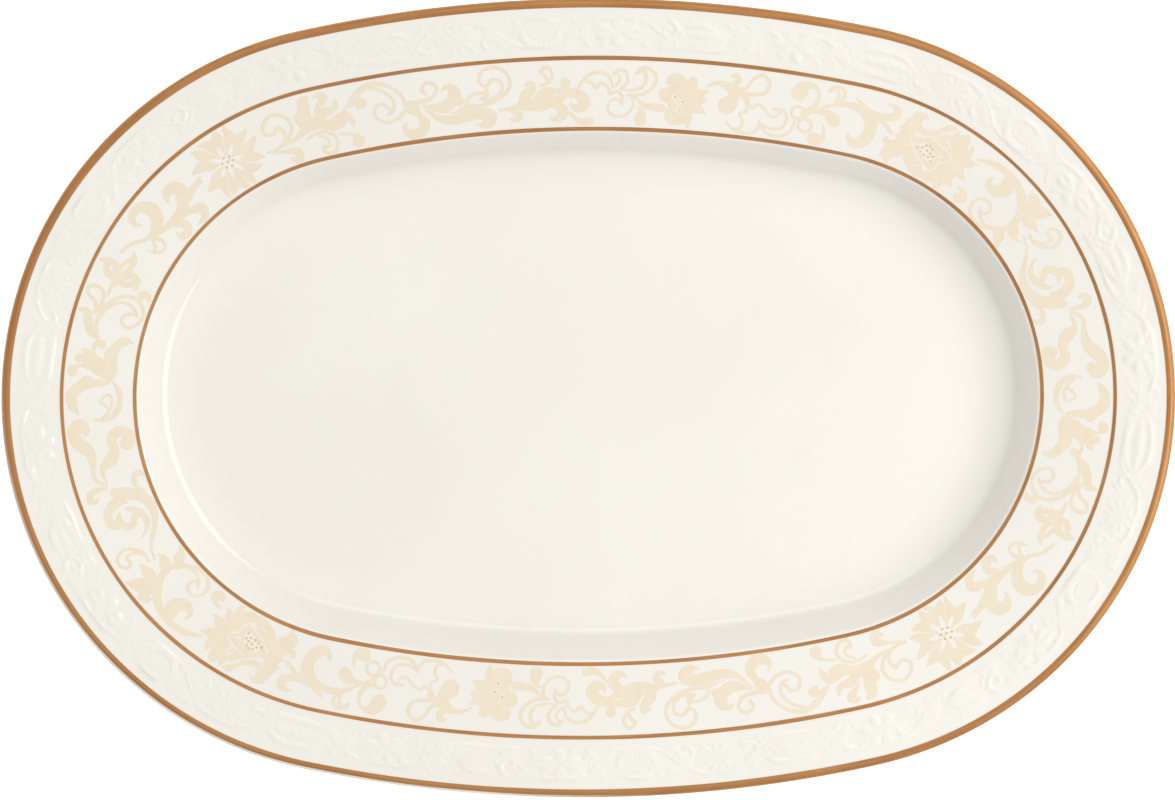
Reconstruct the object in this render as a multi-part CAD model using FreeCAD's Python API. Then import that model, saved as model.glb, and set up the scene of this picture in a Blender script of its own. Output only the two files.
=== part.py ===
"""Oval serving platter in bone china, in millimetres, +Z up.

The origin is the centre of the plane that the foot ring stands on. X runs along the platter and Y across it.
The platter is one cast china body. Everything else on it is a layer that the maker adds: moulded relief on the
rim, three coats of glaze, three bands of gold and four printed transfers. Each layer is its own solid.

Every layer has one cross-section, drawn in "inset and height": inset is measured inwards from the outer edge,
and height up from the table. The cross-section is turned round the four arcs of the oval outline.
"""

import FreeCAD
import Part

import math
import os

# Outline: two end arcs and two side arcs, each tangent to its neighbours.
LENGTH = 350.0
WIDTH = 240.0
END_TIGHTENING = 6.6  # the end arcs are this much tighter than a half circle across the width

# Body
HEIGHT = 27.0  # table to the top of the lip
RIM_WIDTH = 40.5  # outer edge to the corner where the well begins
RIM_RISE = 8.6  # well corner up to the lip
RIM_THICKNESS = 3.3
LIP_ROUNDING = 0.45  # lip radius as a share of the rim's thickness
WELL_CORNER_RADIUS = 2.2  # convex corner between rim and wall
WALL_ANGLE = math.radians(56.0)  # slope of the well's steep side from the floor
WALL_THICKNESS = 3.9
RIM_ROOT_RADIUS = 3.0  # the rim into the wall, from below
BENCH_HEIGHT = 2.2  # the steep side stops this far above the floor, and a shallow slope finishes it
BENCH_ANGLE = math.radians(17.0)
BENCH_CORNER_RADIUS = 5.0  # steep side into shallow slope
FLOOR_FILLET = 26.0  # shallow slope into floor
BASE_RADIUS = 12.0  # wall into base, outside
FLOOR_THICKNESS = 4.2

# Foot ring
FOOT_HEIGHT = 2.8
FOOT_WIDTH = 3.6
FOOT_GAP = 1.5  # end of the rounded base to the foot
FOOT_DRAFT = 0.5  # each side leans in by this much over its height
FOOT_ROOT_RADIUS = 1.2
FOOT_TOE_RADIUS = 0.8

# Glaze
GLAZE = 0.25

# Gold: one band round the lip and two lines
GOLD = 0.1
LIP_BAND_TOP = 2.5  # how far the lip band reaches in over the rim
LIP_BAND_UNDER = 1.0  # and in under the lip
LINE_WIDTH = 1.1
OUTER_LINE_INSET = 17.7  # to the middle of the line
INNER_LINE_GAP = 1.2  # middle of the inner line to the well corner

# Moulded relief on the rim, between the lip band and the outer line
RELIEF_HEIGHT = 0.9
RELIEF_SHOULDER = 1.3
RELIEF_GAP = 0.4  # plain glaze on each side of the relief

# Printed transfers between the two lines
PRINT = 0.08
SEAM_GAP = 0.25
SHORT_TRANSFER_LENGTH = 79.0
SHORT_TRANSFER_SHIFT = 18.5  # its middle from the middle of the platter's side, clockwise

# Worked out from the sizes above
HALF_LENGTH = LENGTH / 2
HALF_WIDTH = WIDTH / 2
END_RADIUS = HALF_WIDTH - END_TIGHTENING
END_CENTRE = HALF_LENGTH - END_RADIUS
SIDE_RADIUS = (END_RADIUS**2 - HALF_WIDTH**2 - END_CENTRE**2) / (2 * (END_RADIUS - HALF_WIDTH))
SIDE_CENTRE = SIDE_RADIUS - HALF_WIDTH
JOIN_ANGLE = math.atan2(SIDE_CENTRE, END_CENTRE)  # where an end arc meets a side arc
RIM_SLOPE = math.atan2(RIM_RISE, RIM_WIDTH)
LIP_RADIUS = LIP_ROUNDING * RIM_THICKNESS
# The rim's top line is placed so that the rounded lip reaches exactly HEIGHT.
EDGE_TOP = HEIGHT - LIP_RADIUS + LIP_RADIUS / math.cos(RIM_SLOPE) + LIP_RADIUS * math.tan(RIM_SLOPE)
EDGE_UNDER = EDGE_TOP - RIM_THICKNESS / math.cos(RIM_SLOPE)
FLOOR_UNDER = FOOT_HEIGHT
FLOOR_TOP = FLOOR_UNDER + FLOOR_THICKNESS
INNER_LINE_INSET = RIM_WIDTH - INNER_LINE_GAP
RELIEF_START = LIP_BAND_TOP + RELIEF_GAP
RELIEF_END = OUTER_LINE_INSET - LINE_WIDTH / 2 - RELIEF_GAP
PRINT_START = OUTER_LINE_INSET + LINE_WIDTH / 2
PRINT_END = INNER_LINE_INSET - LINE_WIDTH / 2

UP = FreeCAD.Vector(0, 0, 1)
ORIGIN = FreeCAD.Vector(0, 0, 0)


def rim_top(inset):
    """Height of the rim's glazed top surface."""
    return EDGE_TOP - inset * math.tan(RIM_SLOPE)


def rim_under(inset):
    return EDGE_UNDER - inset * math.tan(RIM_SLOPE)


def wall_inset(height):
    """Inset of the well's inner side at a height."""
    return RIM_WIDTH + (rim_top(RIM_WIDTH) - height) / math.tan(WALL_ANGLE)


def wall_outer_inset(height):
    return wall_inset(height) - WALL_THICKNESS / math.sin(WALL_ANGLE)


BENCH_TOP = FLOOR_TOP + BENCH_HEIGHT
BENCH_INSET = wall_inset(BENCH_TOP)
FLOOR_INSET = BENCH_INSET + BENCH_HEIGHT / math.tan(BENCH_ANGLE)
FLOOR_FLAT_INSET = FLOOR_INSET + FLOOR_FILLET * math.tan(BENCH_ANGLE / 2)
BASE_END = wall_outer_inset(FLOOR_UNDER) + BASE_RADIUS * math.tan(WALL_ANGLE / 2)
FOOT_INSET = BASE_END + FOOT_GAP
FOOT_END = FOOT_INSET + FOOT_WIDTH
# Inside this inset the floor is one flat plate; outside it the cross-section is turned round the outline.
CORE_MARGIN = 4.0
CORE_INSET = max(FOOT_END, FLOOR_FLAT_INSET) + CORE_MARGIN
OVERRUN = 5.0  # how far drawing shapes run past what they cut


def root_corner():
    """Where the underside of the rim meets the outside of the wall: (inset, height)."""
    slope = math.tan(RIM_SLOPE)
    steep = math.tan(WALL_ANGLE)
    start = RIM_WIDTH - WALL_THICKNESS / math.sin(WALL_ANGLE)
    inset = (rim_top(RIM_WIDTH) + start * steep - EDGE_UNDER) / (steep - slope)
    return inset, rim_under(inset)


def at(inset, height):
    """A point of the cross-section, drawn with the outer edge on the Z axis."""
    return FreeCAD.Vector(-inset, 0, height)


def rounded_face(corners):
    """A face from (inset, height, radius) corners, with an arc of that radius at each."""
    count = len(corners)
    points = [at(c[0], c[1]) for c in corners]
    ends = []
    for i in range(count):
        before = (points[i - 1] - points[i]).normalize()
        after = (points[(i + 1) % count] - points[i]).normalize()
        radius = corners[i][2]
        half = before.getAngle(after) / 2
        reach = radius / math.tan(half) if radius else 0.0
        middle = (before + after).normalize()
        top = points[i] + middle * (radius / math.sin(half) - radius)
        ends.append((points[i] + before * reach, top, points[i] + after * reach, radius))
    edges = []
    for i in range(count):
        start, top, stop, radius = ends[i]
        if radius:
            edges.append(Part.Arc(start, top, stop).toShape())
        following = ends[(i + 1) % count][0]
        if stop.distanceToPoint(following) > 1e-6:
            edges.append(Part.LineSegment(stop, following).toShape())
    return Part.Face(Part.Wire(edges))


def polygon(corners):
    return rounded_face([(inset, height, 0) for inset, height in corners])


def box(inset_from, inset_to, height_from, height_to):
    return polygon(
        [
            (inset_from, height_from),
            (inset_to, height_from),
            (inset_to, height_to),
            (inset_from, height_to),
        ]
    )


def finished_section():
    """The whole platter in section, glaze included, run past the core for later trimming."""
    inner = CORE_INSET + OVERRUN
    root_inset, root_height = root_corner()
    return rounded_face(
        [
            (inner, FLOOR_TOP, 0),
            (FLOOR_INSET, FLOOR_TOP, FLOOR_FILLET),
            (BENCH_INSET, BENCH_TOP, BENCH_CORNER_RADIUS),
            (RIM_WIDTH, rim_top(RIM_WIDTH), WELL_CORNER_RADIUS),
            (0, EDGE_TOP, LIP_RADIUS),
            (0, EDGE_UNDER, LIP_RADIUS),
            (root_inset, root_height, RIM_ROOT_RADIUS),
            (wall_outer_inset(FLOOR_UNDER), FLOOR_UNDER, BASE_RADIUS),
            (FOOT_INSET, FLOOR_UNDER, FOOT_ROOT_RADIUS),
            (FOOT_INSET + FOOT_DRAFT, 0, FOOT_TOE_RADIUS),
            (FOOT_END - FOOT_DRAFT, 0, FOOT_TOE_RADIUS),
            (FOOT_END, FLOOR_UNDER, FOOT_ROOT_RADIUS),
            (inner, FLOOR_UNDER, 0),
        ]
    )


def grown(face, distance):
    """The face with its outline moved out by a distance, or in if it is negative."""
    return Part.Face(face.OuterWire.makeOffset2D(distance))


FOOT_FLAT_START = FOOT_INSET + FOOT_DRAFT + FOOT_TOE_RADIUS
FOOT_FLAT_END = FOOT_END - FOOT_DRAFT - FOOT_TOE_RADIUS
FINISHED = finished_section()
TURNED = box(-OVERRUN, CORE_INSET, -OVERRUN, HEIGHT + OVERRUN)  # the part of the plane that is turned
STANDING_FACE = box(FOOT_FLAT_START, FOOT_FLAT_END, -OVERRUN, FOOT_HEIGHT)  # unglazed china
COAT = FINISHED.cut(grown(FINISHED, -GLAZE)).cut(STANDING_FACE).common(TURNED)
BISQUE = FINISHED.common(TURNED).cut(COAT)


def middle_line(start):
    """The middle of the china's thickness in section, from an inset on the rim to the floor."""
    half = RIM_THICKNESS / 2 / math.cos(RIM_SLOPE)
    return [
        (start, rim_top(start) - half),
        (RIM_WIDTH, rim_top(RIM_WIDTH) - half),
        (wall_inset(FLOOR_TOP), (FLOOR_TOP + FLOOR_UNDER) / 2),
    ]


def above_rim(inset_from, inset_to):
    """The region over the middle of the rim's thickness, between two insets."""
    half = RIM_THICKNESS / 2 / math.cos(RIM_SLOPE)
    return polygon(
        [
            (inset_from, rim_top(inset_from) - half),
            (inset_to, rim_top(inset_to) - half),
            (inset_to, HEIGHT + OVERRUN),
            (inset_from, HEIGHT + OVERRUN),
        ]
    )


def film(thickness):
    """A film on the glaze, all round the section."""
    return grown(FINISHED, thickness).cut(FINISHED)


def arcs():
    """The outline's arcs: centre x, centre y, radius, first angle and turn, anticlockwise from +X."""
    end_turn = 2 * JOIN_ANGLE
    side_turn = math.pi - end_turn
    return [
        (END_CENTRE, 0, END_RADIUS, -JOIN_ANGLE, end_turn),
        (0, -SIDE_CENTRE, SIDE_RADIUS, JOIN_ANGLE, side_turn),
        (-END_CENTRE, 0, END_RADIUS, math.pi - JOIN_ANGLE, end_turn),
        (0, SIDE_CENTRE, SIDE_RADIUS, math.pi + JOIN_ANGLE, side_turn),
    ]


def turned(face, arc):
    """The section turned along one arc."""
    x, y, radius, first, turn = arc
    placed = face.copy()
    placed.translate(FreeCAD.Vector(radius, 0, 0))
    placed.rotate(ORIGIN, UP, math.degrees(first))
    solid = placed.revolve(ORIGIN, UP, math.degrees(turn))
    solid.translate(FreeCAD.Vector(x, y, 0))
    return solid


def joined(solids):
    """One clean solid from solids that touch."""
    shape = solids[0].multiFuse(solids[1:]).removeSplitter()
    if len(shape.Solids) != 1:
        raise ValueError(f"expected one solid, and got {len(shape.Solids)}")
    return shape.Solids[0]


def face_of(shape):
    """The one face that a section came down to."""
    if len(shape.Faces) != 1:
        raise ValueError(f"expected one face, and got {len(shape.Faces)}")
    return shape.Faces[0]


def ring(section):
    """A section turned round the whole outline."""
    face = face_of(section)
    return [turned(face, arc) for arc in arcs()]


def core(height_from, height_to):
    """The flat plate inside the turned part, between two heights."""
    edges = []
    for x, y, radius, first, turn in arcs():
        circle = Part.Circle(FreeCAD.Vector(x, y, height_from), UP, radius - CORE_INSET)
        edges.append(Part.Arc(circle, first, first + turn).toShape())
    plate = Part.Face(Part.Wire(Part.__sortEdges__(edges)))
    return plate.extrude(FreeCAD.Vector(0, 0, height_to - height_from))


def china_body():
    return joined(ring(BISQUE) + [core(FLOOR_UNDER + GLAZE, FLOOR_TOP - GLAZE)])


def glaze_face():
    """Glaze on the eating side, from the relief in to the middle of the well."""
    region = polygon(
        middle_line(RELIEF_END)
        + [
            (CORE_INSET, (FLOOR_TOP + FLOOR_UNDER) / 2),
            (CORE_INSET, HEIGHT + OVERRUN),
            (RELIEF_END, HEIGHT + OVERRUN),
        ]
    )
    return joined(ring(COAT.common(region)) + [core(FLOOR_TOP - GLAZE, FLOOR_TOP)])


def glaze_back():
    """Glaze from the relief out over the lip and under the rim to the foot ring."""
    region = polygon(
        middle_line(RELIEF_START)
        + [
            (FOOT_FLAT_START, (FLOOR_TOP + FLOOR_UNDER) / 2),
            (FOOT_FLAT_START, -OVERRUN),
            (-OVERRUN, -OVERRUN),
            (-OVERRUN, HEIGHT + OVERRUN),
            (RELIEF_START, HEIGHT + OVERRUN),
        ]
    )
    return joined(ring(COAT.common(region)))


def glaze_recess():
    """Glaze on the base inside the foot ring."""
    region = box(FOOT_FLAT_END, CORE_INSET, -OVERRUN, (FLOOR_TOP + FLOOR_UNDER) / 2)
    return joined(ring(COAT.common(region)) + [core(FLOOR_UNDER, FLOOR_UNDER + GLAZE)])


def relief_garland():
    """The moulded band of the rim, from the body's surface to the height of the ornament."""
    base = GLAZE / math.cos(RIM_SLOPE)
    section = polygon(
        [
            (RELIEF_START, rim_top(RELIEF_START) - base),
            (RELIEF_END, rim_top(RELIEF_END) - base),
            (RELIEF_END, rim_top(RELIEF_END)),
            (RELIEF_END - RELIEF_SHOULDER, rim_top(RELIEF_END - RELIEF_SHOULDER) + RELIEF_HEIGHT),
            (RELIEF_START + RELIEF_SHOULDER, rim_top(RELIEF_START + RELIEF_SHOULDER) + RELIEF_HEIGHT),
            (RELIEF_START, rim_top(RELIEF_START)),
        ]
    )
    return joined(ring(section))


def lip_gold_band():
    half = RIM_THICKNESS / 2 / math.cos(RIM_SLOPE)
    region = polygon(
        [
            (-OVERRUN, -OVERRUN),
            (LIP_BAND_UNDER, -OVERRUN),
            (LIP_BAND_UNDER, rim_top(LIP_BAND_UNDER) - half),
            (LIP_BAND_TOP, rim_top(LIP_BAND_TOP) - half),
            (LIP_BAND_TOP, HEIGHT + OVERRUN),
            (-OVERRUN, HEIGHT + OVERRUN),
        ]
    )
    return joined(ring(film(GOLD).common(region)))


def gold_line(inset):
    region = above_rim(inset - LINE_WIDTH / 2, inset + LINE_WIDTH / 2)
    return joined(ring(film(GOLD).common(region)))


def transfers():
    """Two short transfers on the sides and two long ones round the ends, with a fine gap at each seam."""
    face = face_of(film(PRINT).common(above_rim(PRINT_START, PRINT_END)))
    reach = SIDE_RADIUS - (PRINT_START + PRINT_END) / 2  # radius of the band's middle on a side
    gap = SEAM_GAP / reach
    first = math.pi / 2 - (SHORT_TRANSFER_LENGTH / 2 - SHORT_TRANSFER_SHIFT) / reach
    last = first + SHORT_TRANSFER_LENGTH / reach
    right, back, left, front = arcs()
    half_turn = math.pi

    def stretch(arc, start, stop):
        x, y, radius = arc[:3]
        return turned(face, (x, y, radius, start, stop - start))

    back_end = JOIN_ANGLE + back[4]
    right_end = [
        stretch(front, last + half_turn + gap, half_turn + back_end),
        turned(face, right),
        stretch(back, JOIN_ANGLE, first - gap),
    ]
    left_end = [
        stretch(back, last + gap, back_end),
        turned(face, left),
        stretch(front, half_turn + JOIN_ANGLE, first + half_turn - gap),
    ]
    return {
        "transfer_right_end": joined(right_end),
        "transfer_back_side": stretch(back, first, last),
        "transfer_left_end": joined(left_end),
        "transfer_front_side": stretch(front, first + half_turn, last + half_turn),
    }


def build():
    nodes = {
        "china_body": china_body(),
        "glaze_face": glaze_face(),
        "glaze_back": glaze_back(),
        "glaze_recess": glaze_recess(),
        "relief_garland": relief_garland(),
        "lip_gold_band": lip_gold_band(),
        "outer_gold_line": gold_line(OUTER_LINE_INSET),
        "inner_gold_line": gold_line(INNER_LINE_INSET),
    }
    nodes.update(transfers())
    return nodes


def main():
    os.makedirs("parts", exist_ok=True)
    for name, shape in build().items():
        if not shape.isValid():
            raise ValueError(f"{name} is not a valid solid")
        shape.exportStep(f"parts/{name}.step")
        box_of = shape.BoundBox
        size = (round(box_of.XLength, 2), round(box_of.YLength, 2), round(box_of.ZLength, 2))
        print(name, "volume", round(shape.Volume, 1), "size", size)
    print("side radius", round(SIDE_RADIUS, 2), "foot inset", round(FOOT_INSET, 2), "floor", FLOOR_TOP)


main()
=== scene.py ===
"""An oval serving platter in gilded and printed bone china, built in the order that a pottery makes it."""

import math

import bpy
import numpy as np
from mathutils import Matrix, Vector, geometry


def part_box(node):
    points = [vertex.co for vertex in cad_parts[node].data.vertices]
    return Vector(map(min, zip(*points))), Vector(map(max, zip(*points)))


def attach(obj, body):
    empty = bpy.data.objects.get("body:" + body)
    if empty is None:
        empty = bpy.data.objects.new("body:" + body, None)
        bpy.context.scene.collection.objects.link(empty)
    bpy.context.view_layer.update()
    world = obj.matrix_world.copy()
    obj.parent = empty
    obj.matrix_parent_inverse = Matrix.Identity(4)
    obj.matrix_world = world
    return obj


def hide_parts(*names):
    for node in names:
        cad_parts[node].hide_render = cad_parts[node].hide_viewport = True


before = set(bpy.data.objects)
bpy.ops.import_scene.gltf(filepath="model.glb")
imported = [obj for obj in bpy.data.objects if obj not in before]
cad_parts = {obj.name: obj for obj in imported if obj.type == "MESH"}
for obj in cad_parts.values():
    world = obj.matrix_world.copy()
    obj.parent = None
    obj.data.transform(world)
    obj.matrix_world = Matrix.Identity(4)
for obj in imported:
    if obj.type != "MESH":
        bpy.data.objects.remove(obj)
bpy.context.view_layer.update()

# ---------------------------------------------------------------- The bone china body
# One casting of bone china, once fired. It is glazed all over except for the narrow face that it stands on,
# so only that matt ring of it is ever seen.

MM = 0.001
END_TIGHTENING = 6.6 * MM  # the end arcs are this much tighter than a half circle across the width
RIM_WIDTH = 40.5 * MM
RIM_RISE = 8.6 * MM
RIM_THICKNESS = 3.3 * MM

glazed_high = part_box("glaze_back")[1]
HALF_LENGTH = round(glazed_high.x, 5)
HALF_WIDTH = round(glazed_high.y, 5)
HEIGHT = round(glazed_high.z, 5)
END_RADIUS = HALF_WIDTH - END_TIGHTENING
END_CENTRE = HALF_LENGTH - END_RADIUS
SIDE_RADIUS = (END_RADIUS**2 - HALF_WIDTH**2 - END_CENTRE**2) / (2 * (END_RADIUS - HALF_WIDTH))
SIDE_CENTRE = SIDE_RADIUS - HALF_WIDTH
JOIN_ANGLE = math.atan2(SIDE_CENTRE, END_CENTRE)  # where an end arc meets a side arc
RIM_SLOPE = math.atan2(RIM_RISE, RIM_WIDTH)
LIP_RADIUS = 0.45 * RIM_THICKNESS
EDGE_TOP = HEIGHT - LIP_RADIUS + LIP_RADIUS / math.cos(RIM_SLOPE) + LIP_RADIUS * math.tan(RIM_SLOPE)
EDGE_UNDER = EDGE_TOP - RIM_THICKNESS / math.cos(RIM_SLOPE)


def rim_top(inset):
    """Height of the rim's upper side at a distance in from the outer edge."""
    return EDGE_TOP - inset * math.tan(RIM_SLOPE)


def rim_under(inset):
    return EDGE_UNDER - inset * math.tan(RIM_SLOPE)


def node_colour(node_tree, low, high, factor):
    """A mix between two colours by a factor output."""
    mix = node_tree.nodes.new("ShaderNodeMix")
    mix.data_type = "RGBA"
    mix.inputs["A"].default_value = (*low, 1)
    mix.inputs["B"].default_value = (*high, 1)
    node_tree.links.new(factor, mix.inputs["Factor"])
    return mix.outputs["Result"]


def noise(node_tree, place, scale, detail=3.0, stretch=(1, 1, 1)):
    """Cloudy noise at a number of cells to the metre."""
    mapping = node_tree.nodes.new("ShaderNodeMapping")
    mapping.inputs["Scale"].default_value = stretch
    node_tree.links.new(place, mapping.inputs["Vector"])
    texture = node_tree.nodes.new("ShaderNodeTexNoise")
    texture.inputs["Scale"].default_value = scale
    texture.inputs["Detail"].default_value = detail
    node_tree.links.new(mapping.outputs["Vector"], texture.inputs["Vector"])
    return texture.outputs["Fac"]


def between(node_tree, value, low, high, to_low=0.0, to_high=1.0):
    """The value spread from one range to another, and held inside it."""
    spread = node_tree.nodes.new("ShaderNodeMapRange")
    spread.inputs["From Min"].default_value = low
    spread.inputs["From Max"].default_value = high
    spread.inputs["To Min"].default_value = to_low
    spread.inputs["To Max"].default_value = to_high
    node_tree.links.new(value, spread.inputs["Value"])
    return spread.outputs["Result"]


def bump(node_tree, height, distance, strength, under=None):
    node = node_tree.nodes.new("ShaderNodeBump")
    node.inputs["Distance"].default_value = distance
    node.inputs["Strength"].default_value = strength
    node_tree.links.new(height, node.inputs["Height"])
    if under is not None:
        node_tree.links.new(under, node.inputs["Normal"])
    return node.outputs["Normal"]


def new_material(name):
    material = bpy.data.materials.new(name)
    material.use_nodes = True
    tree = material.node_tree
    shader = tree.nodes["Principled BSDF"]
    place = tree.nodes.new("ShaderNodeTexCoord").outputs["Object"]
    return material, tree, shader, place


def bisque_material():
    """Fired china without glaze: matt, finely gritty, and greyed where it has rubbed on shelves."""
    material, tree, shader, place = new_material("china_bisque")
    grime = between(tree, noise(tree, place, 90, 5), 0.4, 0.7)
    clay = node_colour(tree, (0.80, 0.76, 0.68), (0.62, 0.57, 0.49), grime)
    tree.links.new(clay, shader.inputs["Base Color"])
    shader.inputs["Roughness"].default_value = 0.78
    grit = bump(tree, noise(tree, place, 5200, 2), 0.05 * MM, 0.5)
    tree.links.new(grit, shader.inputs["Normal"])
    return material


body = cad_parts["china_body"]
body.data.materials.clear()
body.data.materials.append(bisque_material())

# ---------------------------------------------------------------- The glaze
# A clear, warm white gloss coat a quarter of a millimetre thick, in three stretches: the eating side, the
# back with the lip, and the base inside the foot ring. The relief and the bare foot face part them.

WALL_ANGLE = math.radians(56)
WALL_THICKNESS = 3.9 * MM
WELL_CORNER_RADIUS = 2.2 * MM
RIM_ROOT_RADIUS = 3.0 * MM
BENCH_HEIGHT = 2.2 * MM
BENCH_ANGLE = math.radians(17)
BENCH_CORNER_RADIUS = 5.0 * MM
FLOOR_FILLET = 26.0 * MM
BASE_RADIUS = 12.0 * MM
FOOT_DRAFT = 0.5 * MM
FOOT_WIDTH = 3.6 * MM
FOOT_GAP = 1.5 * MM
FOOT_ROOT_RADIUS = 1.2 * MM
FOOT_TOE_RADIUS = 0.8 * MM
GLAZE = 0.25 * MM
ARC_STEP = math.radians(9)  # turn of one facet in a rounded corner
RING_STEP = 3.2 * MM  # length of one facet round the outline

FLOOR_UNDER = round(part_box("glaze_recess")[1].z, 5) - GLAZE
FLOOR_TOP = round(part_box("glaze_face")[0].z, 5) + GLAZE
RELIEF_START = round(HALF_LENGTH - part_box("relief_garland")[1].x, 5)
RELIEF_END = 16.75 * MM


def wall_inset(height):
    """Inset of the well's steep side at a height."""
    return RIM_WIDTH + (rim_top(RIM_WIDTH) - height) / math.tan(WALL_ANGLE)


BENCH_TOP = FLOOR_TOP + BENCH_HEIGHT
BENCH_INSET = wall_inset(BENCH_TOP)
FLOOR_INSET = BENCH_INSET + BENCH_HEIGHT / math.tan(BENCH_ANGLE)
WALL_OUTER = WALL_THICKNESS / math.sin(WALL_ANGLE)
BASE_CORNER = wall_inset(FLOOR_UNDER) - WALL_OUTER
FOOT_INSET = BASE_CORNER + BASE_RADIUS * math.tan(WALL_ANGLE / 2) + FOOT_GAP
FOOT_END = FOOT_INSET + FOOT_WIDTH
FOOT_FLAT_START = FOOT_INSET + FOOT_DRAFT + FOOT_TOE_RADIUS
FOOT_FLAT_END = FOOT_END - FOOT_DRAFT - FOOT_TOE_RADIUS
CORE_INSET = FOOT_END + 4.0 * MM


def root_corner():
    """Where the underside of the rim meets the outside of the wall."""
    steep = math.tan(WALL_ANGLE)
    start = RIM_WIDTH - WALL_OUTER
    inset = (rim_top(RIM_WIDTH) + start * steep - EDGE_UNDER) / (steep - math.tan(RIM_SLOPE))
    return inset, rim_under(inset)


def section(*corners):
    """A line of (inset, height) points through corners, each with its own rounding radius, 0 if left out."""
    line = [Vector(corners[0][:2])]
    for before, corner, after in zip(corners, corners[1:], corners[2:]):
        middle = Vector(corner[:2])
        back = (Vector(before[:2]) - middle).normalized()
        ahead = (Vector(after[:2]) - middle).normalized()
        radius = corner[2]
        half = back.angle(ahead) / 2
        centre = middle + (back + ahead).normalized() * (radius / math.sin(half))
        first = middle + back * (radius / math.tan(half)) - centre
        last = middle + ahead * (radius / math.tan(half)) - centre
        turn = first.angle_signed(last)
        steps = max(2, math.ceil(abs(turn) / ARC_STEP))
        for i in range(steps + 1):
            line.append(centre + Matrix.Rotation(-turn * i / steps, 2) @ first)
    line.append(Vector(corners[-1][:2]))
    return line


def spun(name, line):
    """The line turned round the four arcs of the outline, as an open sheet in edit mode."""
    bpy.ops.object.select_all(action="DESELECT")
    mesh = bpy.data.meshes.new(name)
    points = [(HALF_LENGTH - p.x, 0, p.y) for p in line]
    mesh.from_pydata(points, [(i, i + 1) for i in range(len(points) - 1)], [])
    piece = bpy.data.objects.new(name, mesh)
    bpy.context.scene.collection.objects.link(piece)
    bpy.context.view_layer.objects.active = piece
    piece.select_set(True)
    bpy.ops.object.mode_set(mode="EDIT")
    bpy.ops.mesh.select_all(action="SELECT")
    side_turn = math.pi - 2 * JOIN_ANGLE
    arcs = [
        ((END_CENTRE, 0, 0), END_RADIUS, JOIN_ANGLE),
        ((0, -SIDE_CENTRE, 0), SIDE_RADIUS, side_turn),
        ((-END_CENTRE, 0, 0), END_RADIUS, 2 * JOIN_ANGLE),
        ((0, SIDE_CENTRE, 0), SIDE_RADIUS, side_turn),
        ((END_CENTRE, 0, 0), END_RADIUS, JOIN_ANGLE),
    ]
    for centre, radius, turn in arcs:
        steps = math.ceil(radius * turn / RING_STEP)
        bpy.ops.mesh.spin(steps=steps, angle=-turn, center=centre, axis=(0, 0, 1))
    bpy.ops.mesh.select_all(action="SELECT")
    bpy.ops.mesh.remove_doubles(threshold=0.01 * MM)
    return piece


def faced(piece, up):
    """Turns the sheet's faces so that they look mostly up, or down."""
    bpy.ops.mesh.select_all(action="SELECT")
    bpy.ops.mesh.normals_make_consistent(inside=False)
    bpy.ops.object.mode_set(mode="OBJECT")
    lean = sum(face.normal.z * face.area for face in piece.data.polygons)
    if (lean > 0) != up:
        bpy.ops.object.mode_set(mode="EDIT")
        bpy.ops.mesh.flip_normals()
        bpy.ops.object.mode_set(mode="OBJECT")


def thickened(piece, thickness, offset):
    """A coat of that thickness, grown inwards for an offset of -1 and outwards for 1."""
    solidify = piece.modifiers.new("coat", "SOLIDIFY")
    solidify.thickness = thickness
    solidify.offset = offset
    solidify.use_even_offset = True
    bpy.ops.object.modifier_apply(modifier=solidify.name)
    bpy.ops.object.shade_smooth_by_angle(angle=math.radians(50))


def filled(piece):
    """Closes the innermost ring with one flat face."""
    bpy.ops.object.mode_set(mode="OBJECT")
    mesh = piece.data
    inner = [inset_at(v.co.x, v.co.y) > CORE_INSET - 0.05 * MM for v in mesh.vertices]
    mesh.vertices.foreach_set("select", inner)
    mesh.edges.foreach_set("select", [inner[e.vertices[0]] and inner[e.vertices[1]] for e in mesh.edges])
    mesh.polygons.foreach_set("select", [False] * len(mesh.polygons))
    bpy.ops.object.mode_set(mode="EDIT")
    bpy.ops.mesh.edge_face_add()


def inset_at(x, y):
    """How far a point of the plan lies in from the outer edge."""
    along, across = abs(x), abs(y)
    if along > END_CENTRE and math.atan2(across, along - END_CENTRE) < JOIN_ANGLE:
        return END_RADIUS - math.hypot(along - END_CENTRE, across)
    return SIDE_RADIUS - math.hypot(along, across + SIDE_CENTRE)


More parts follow.
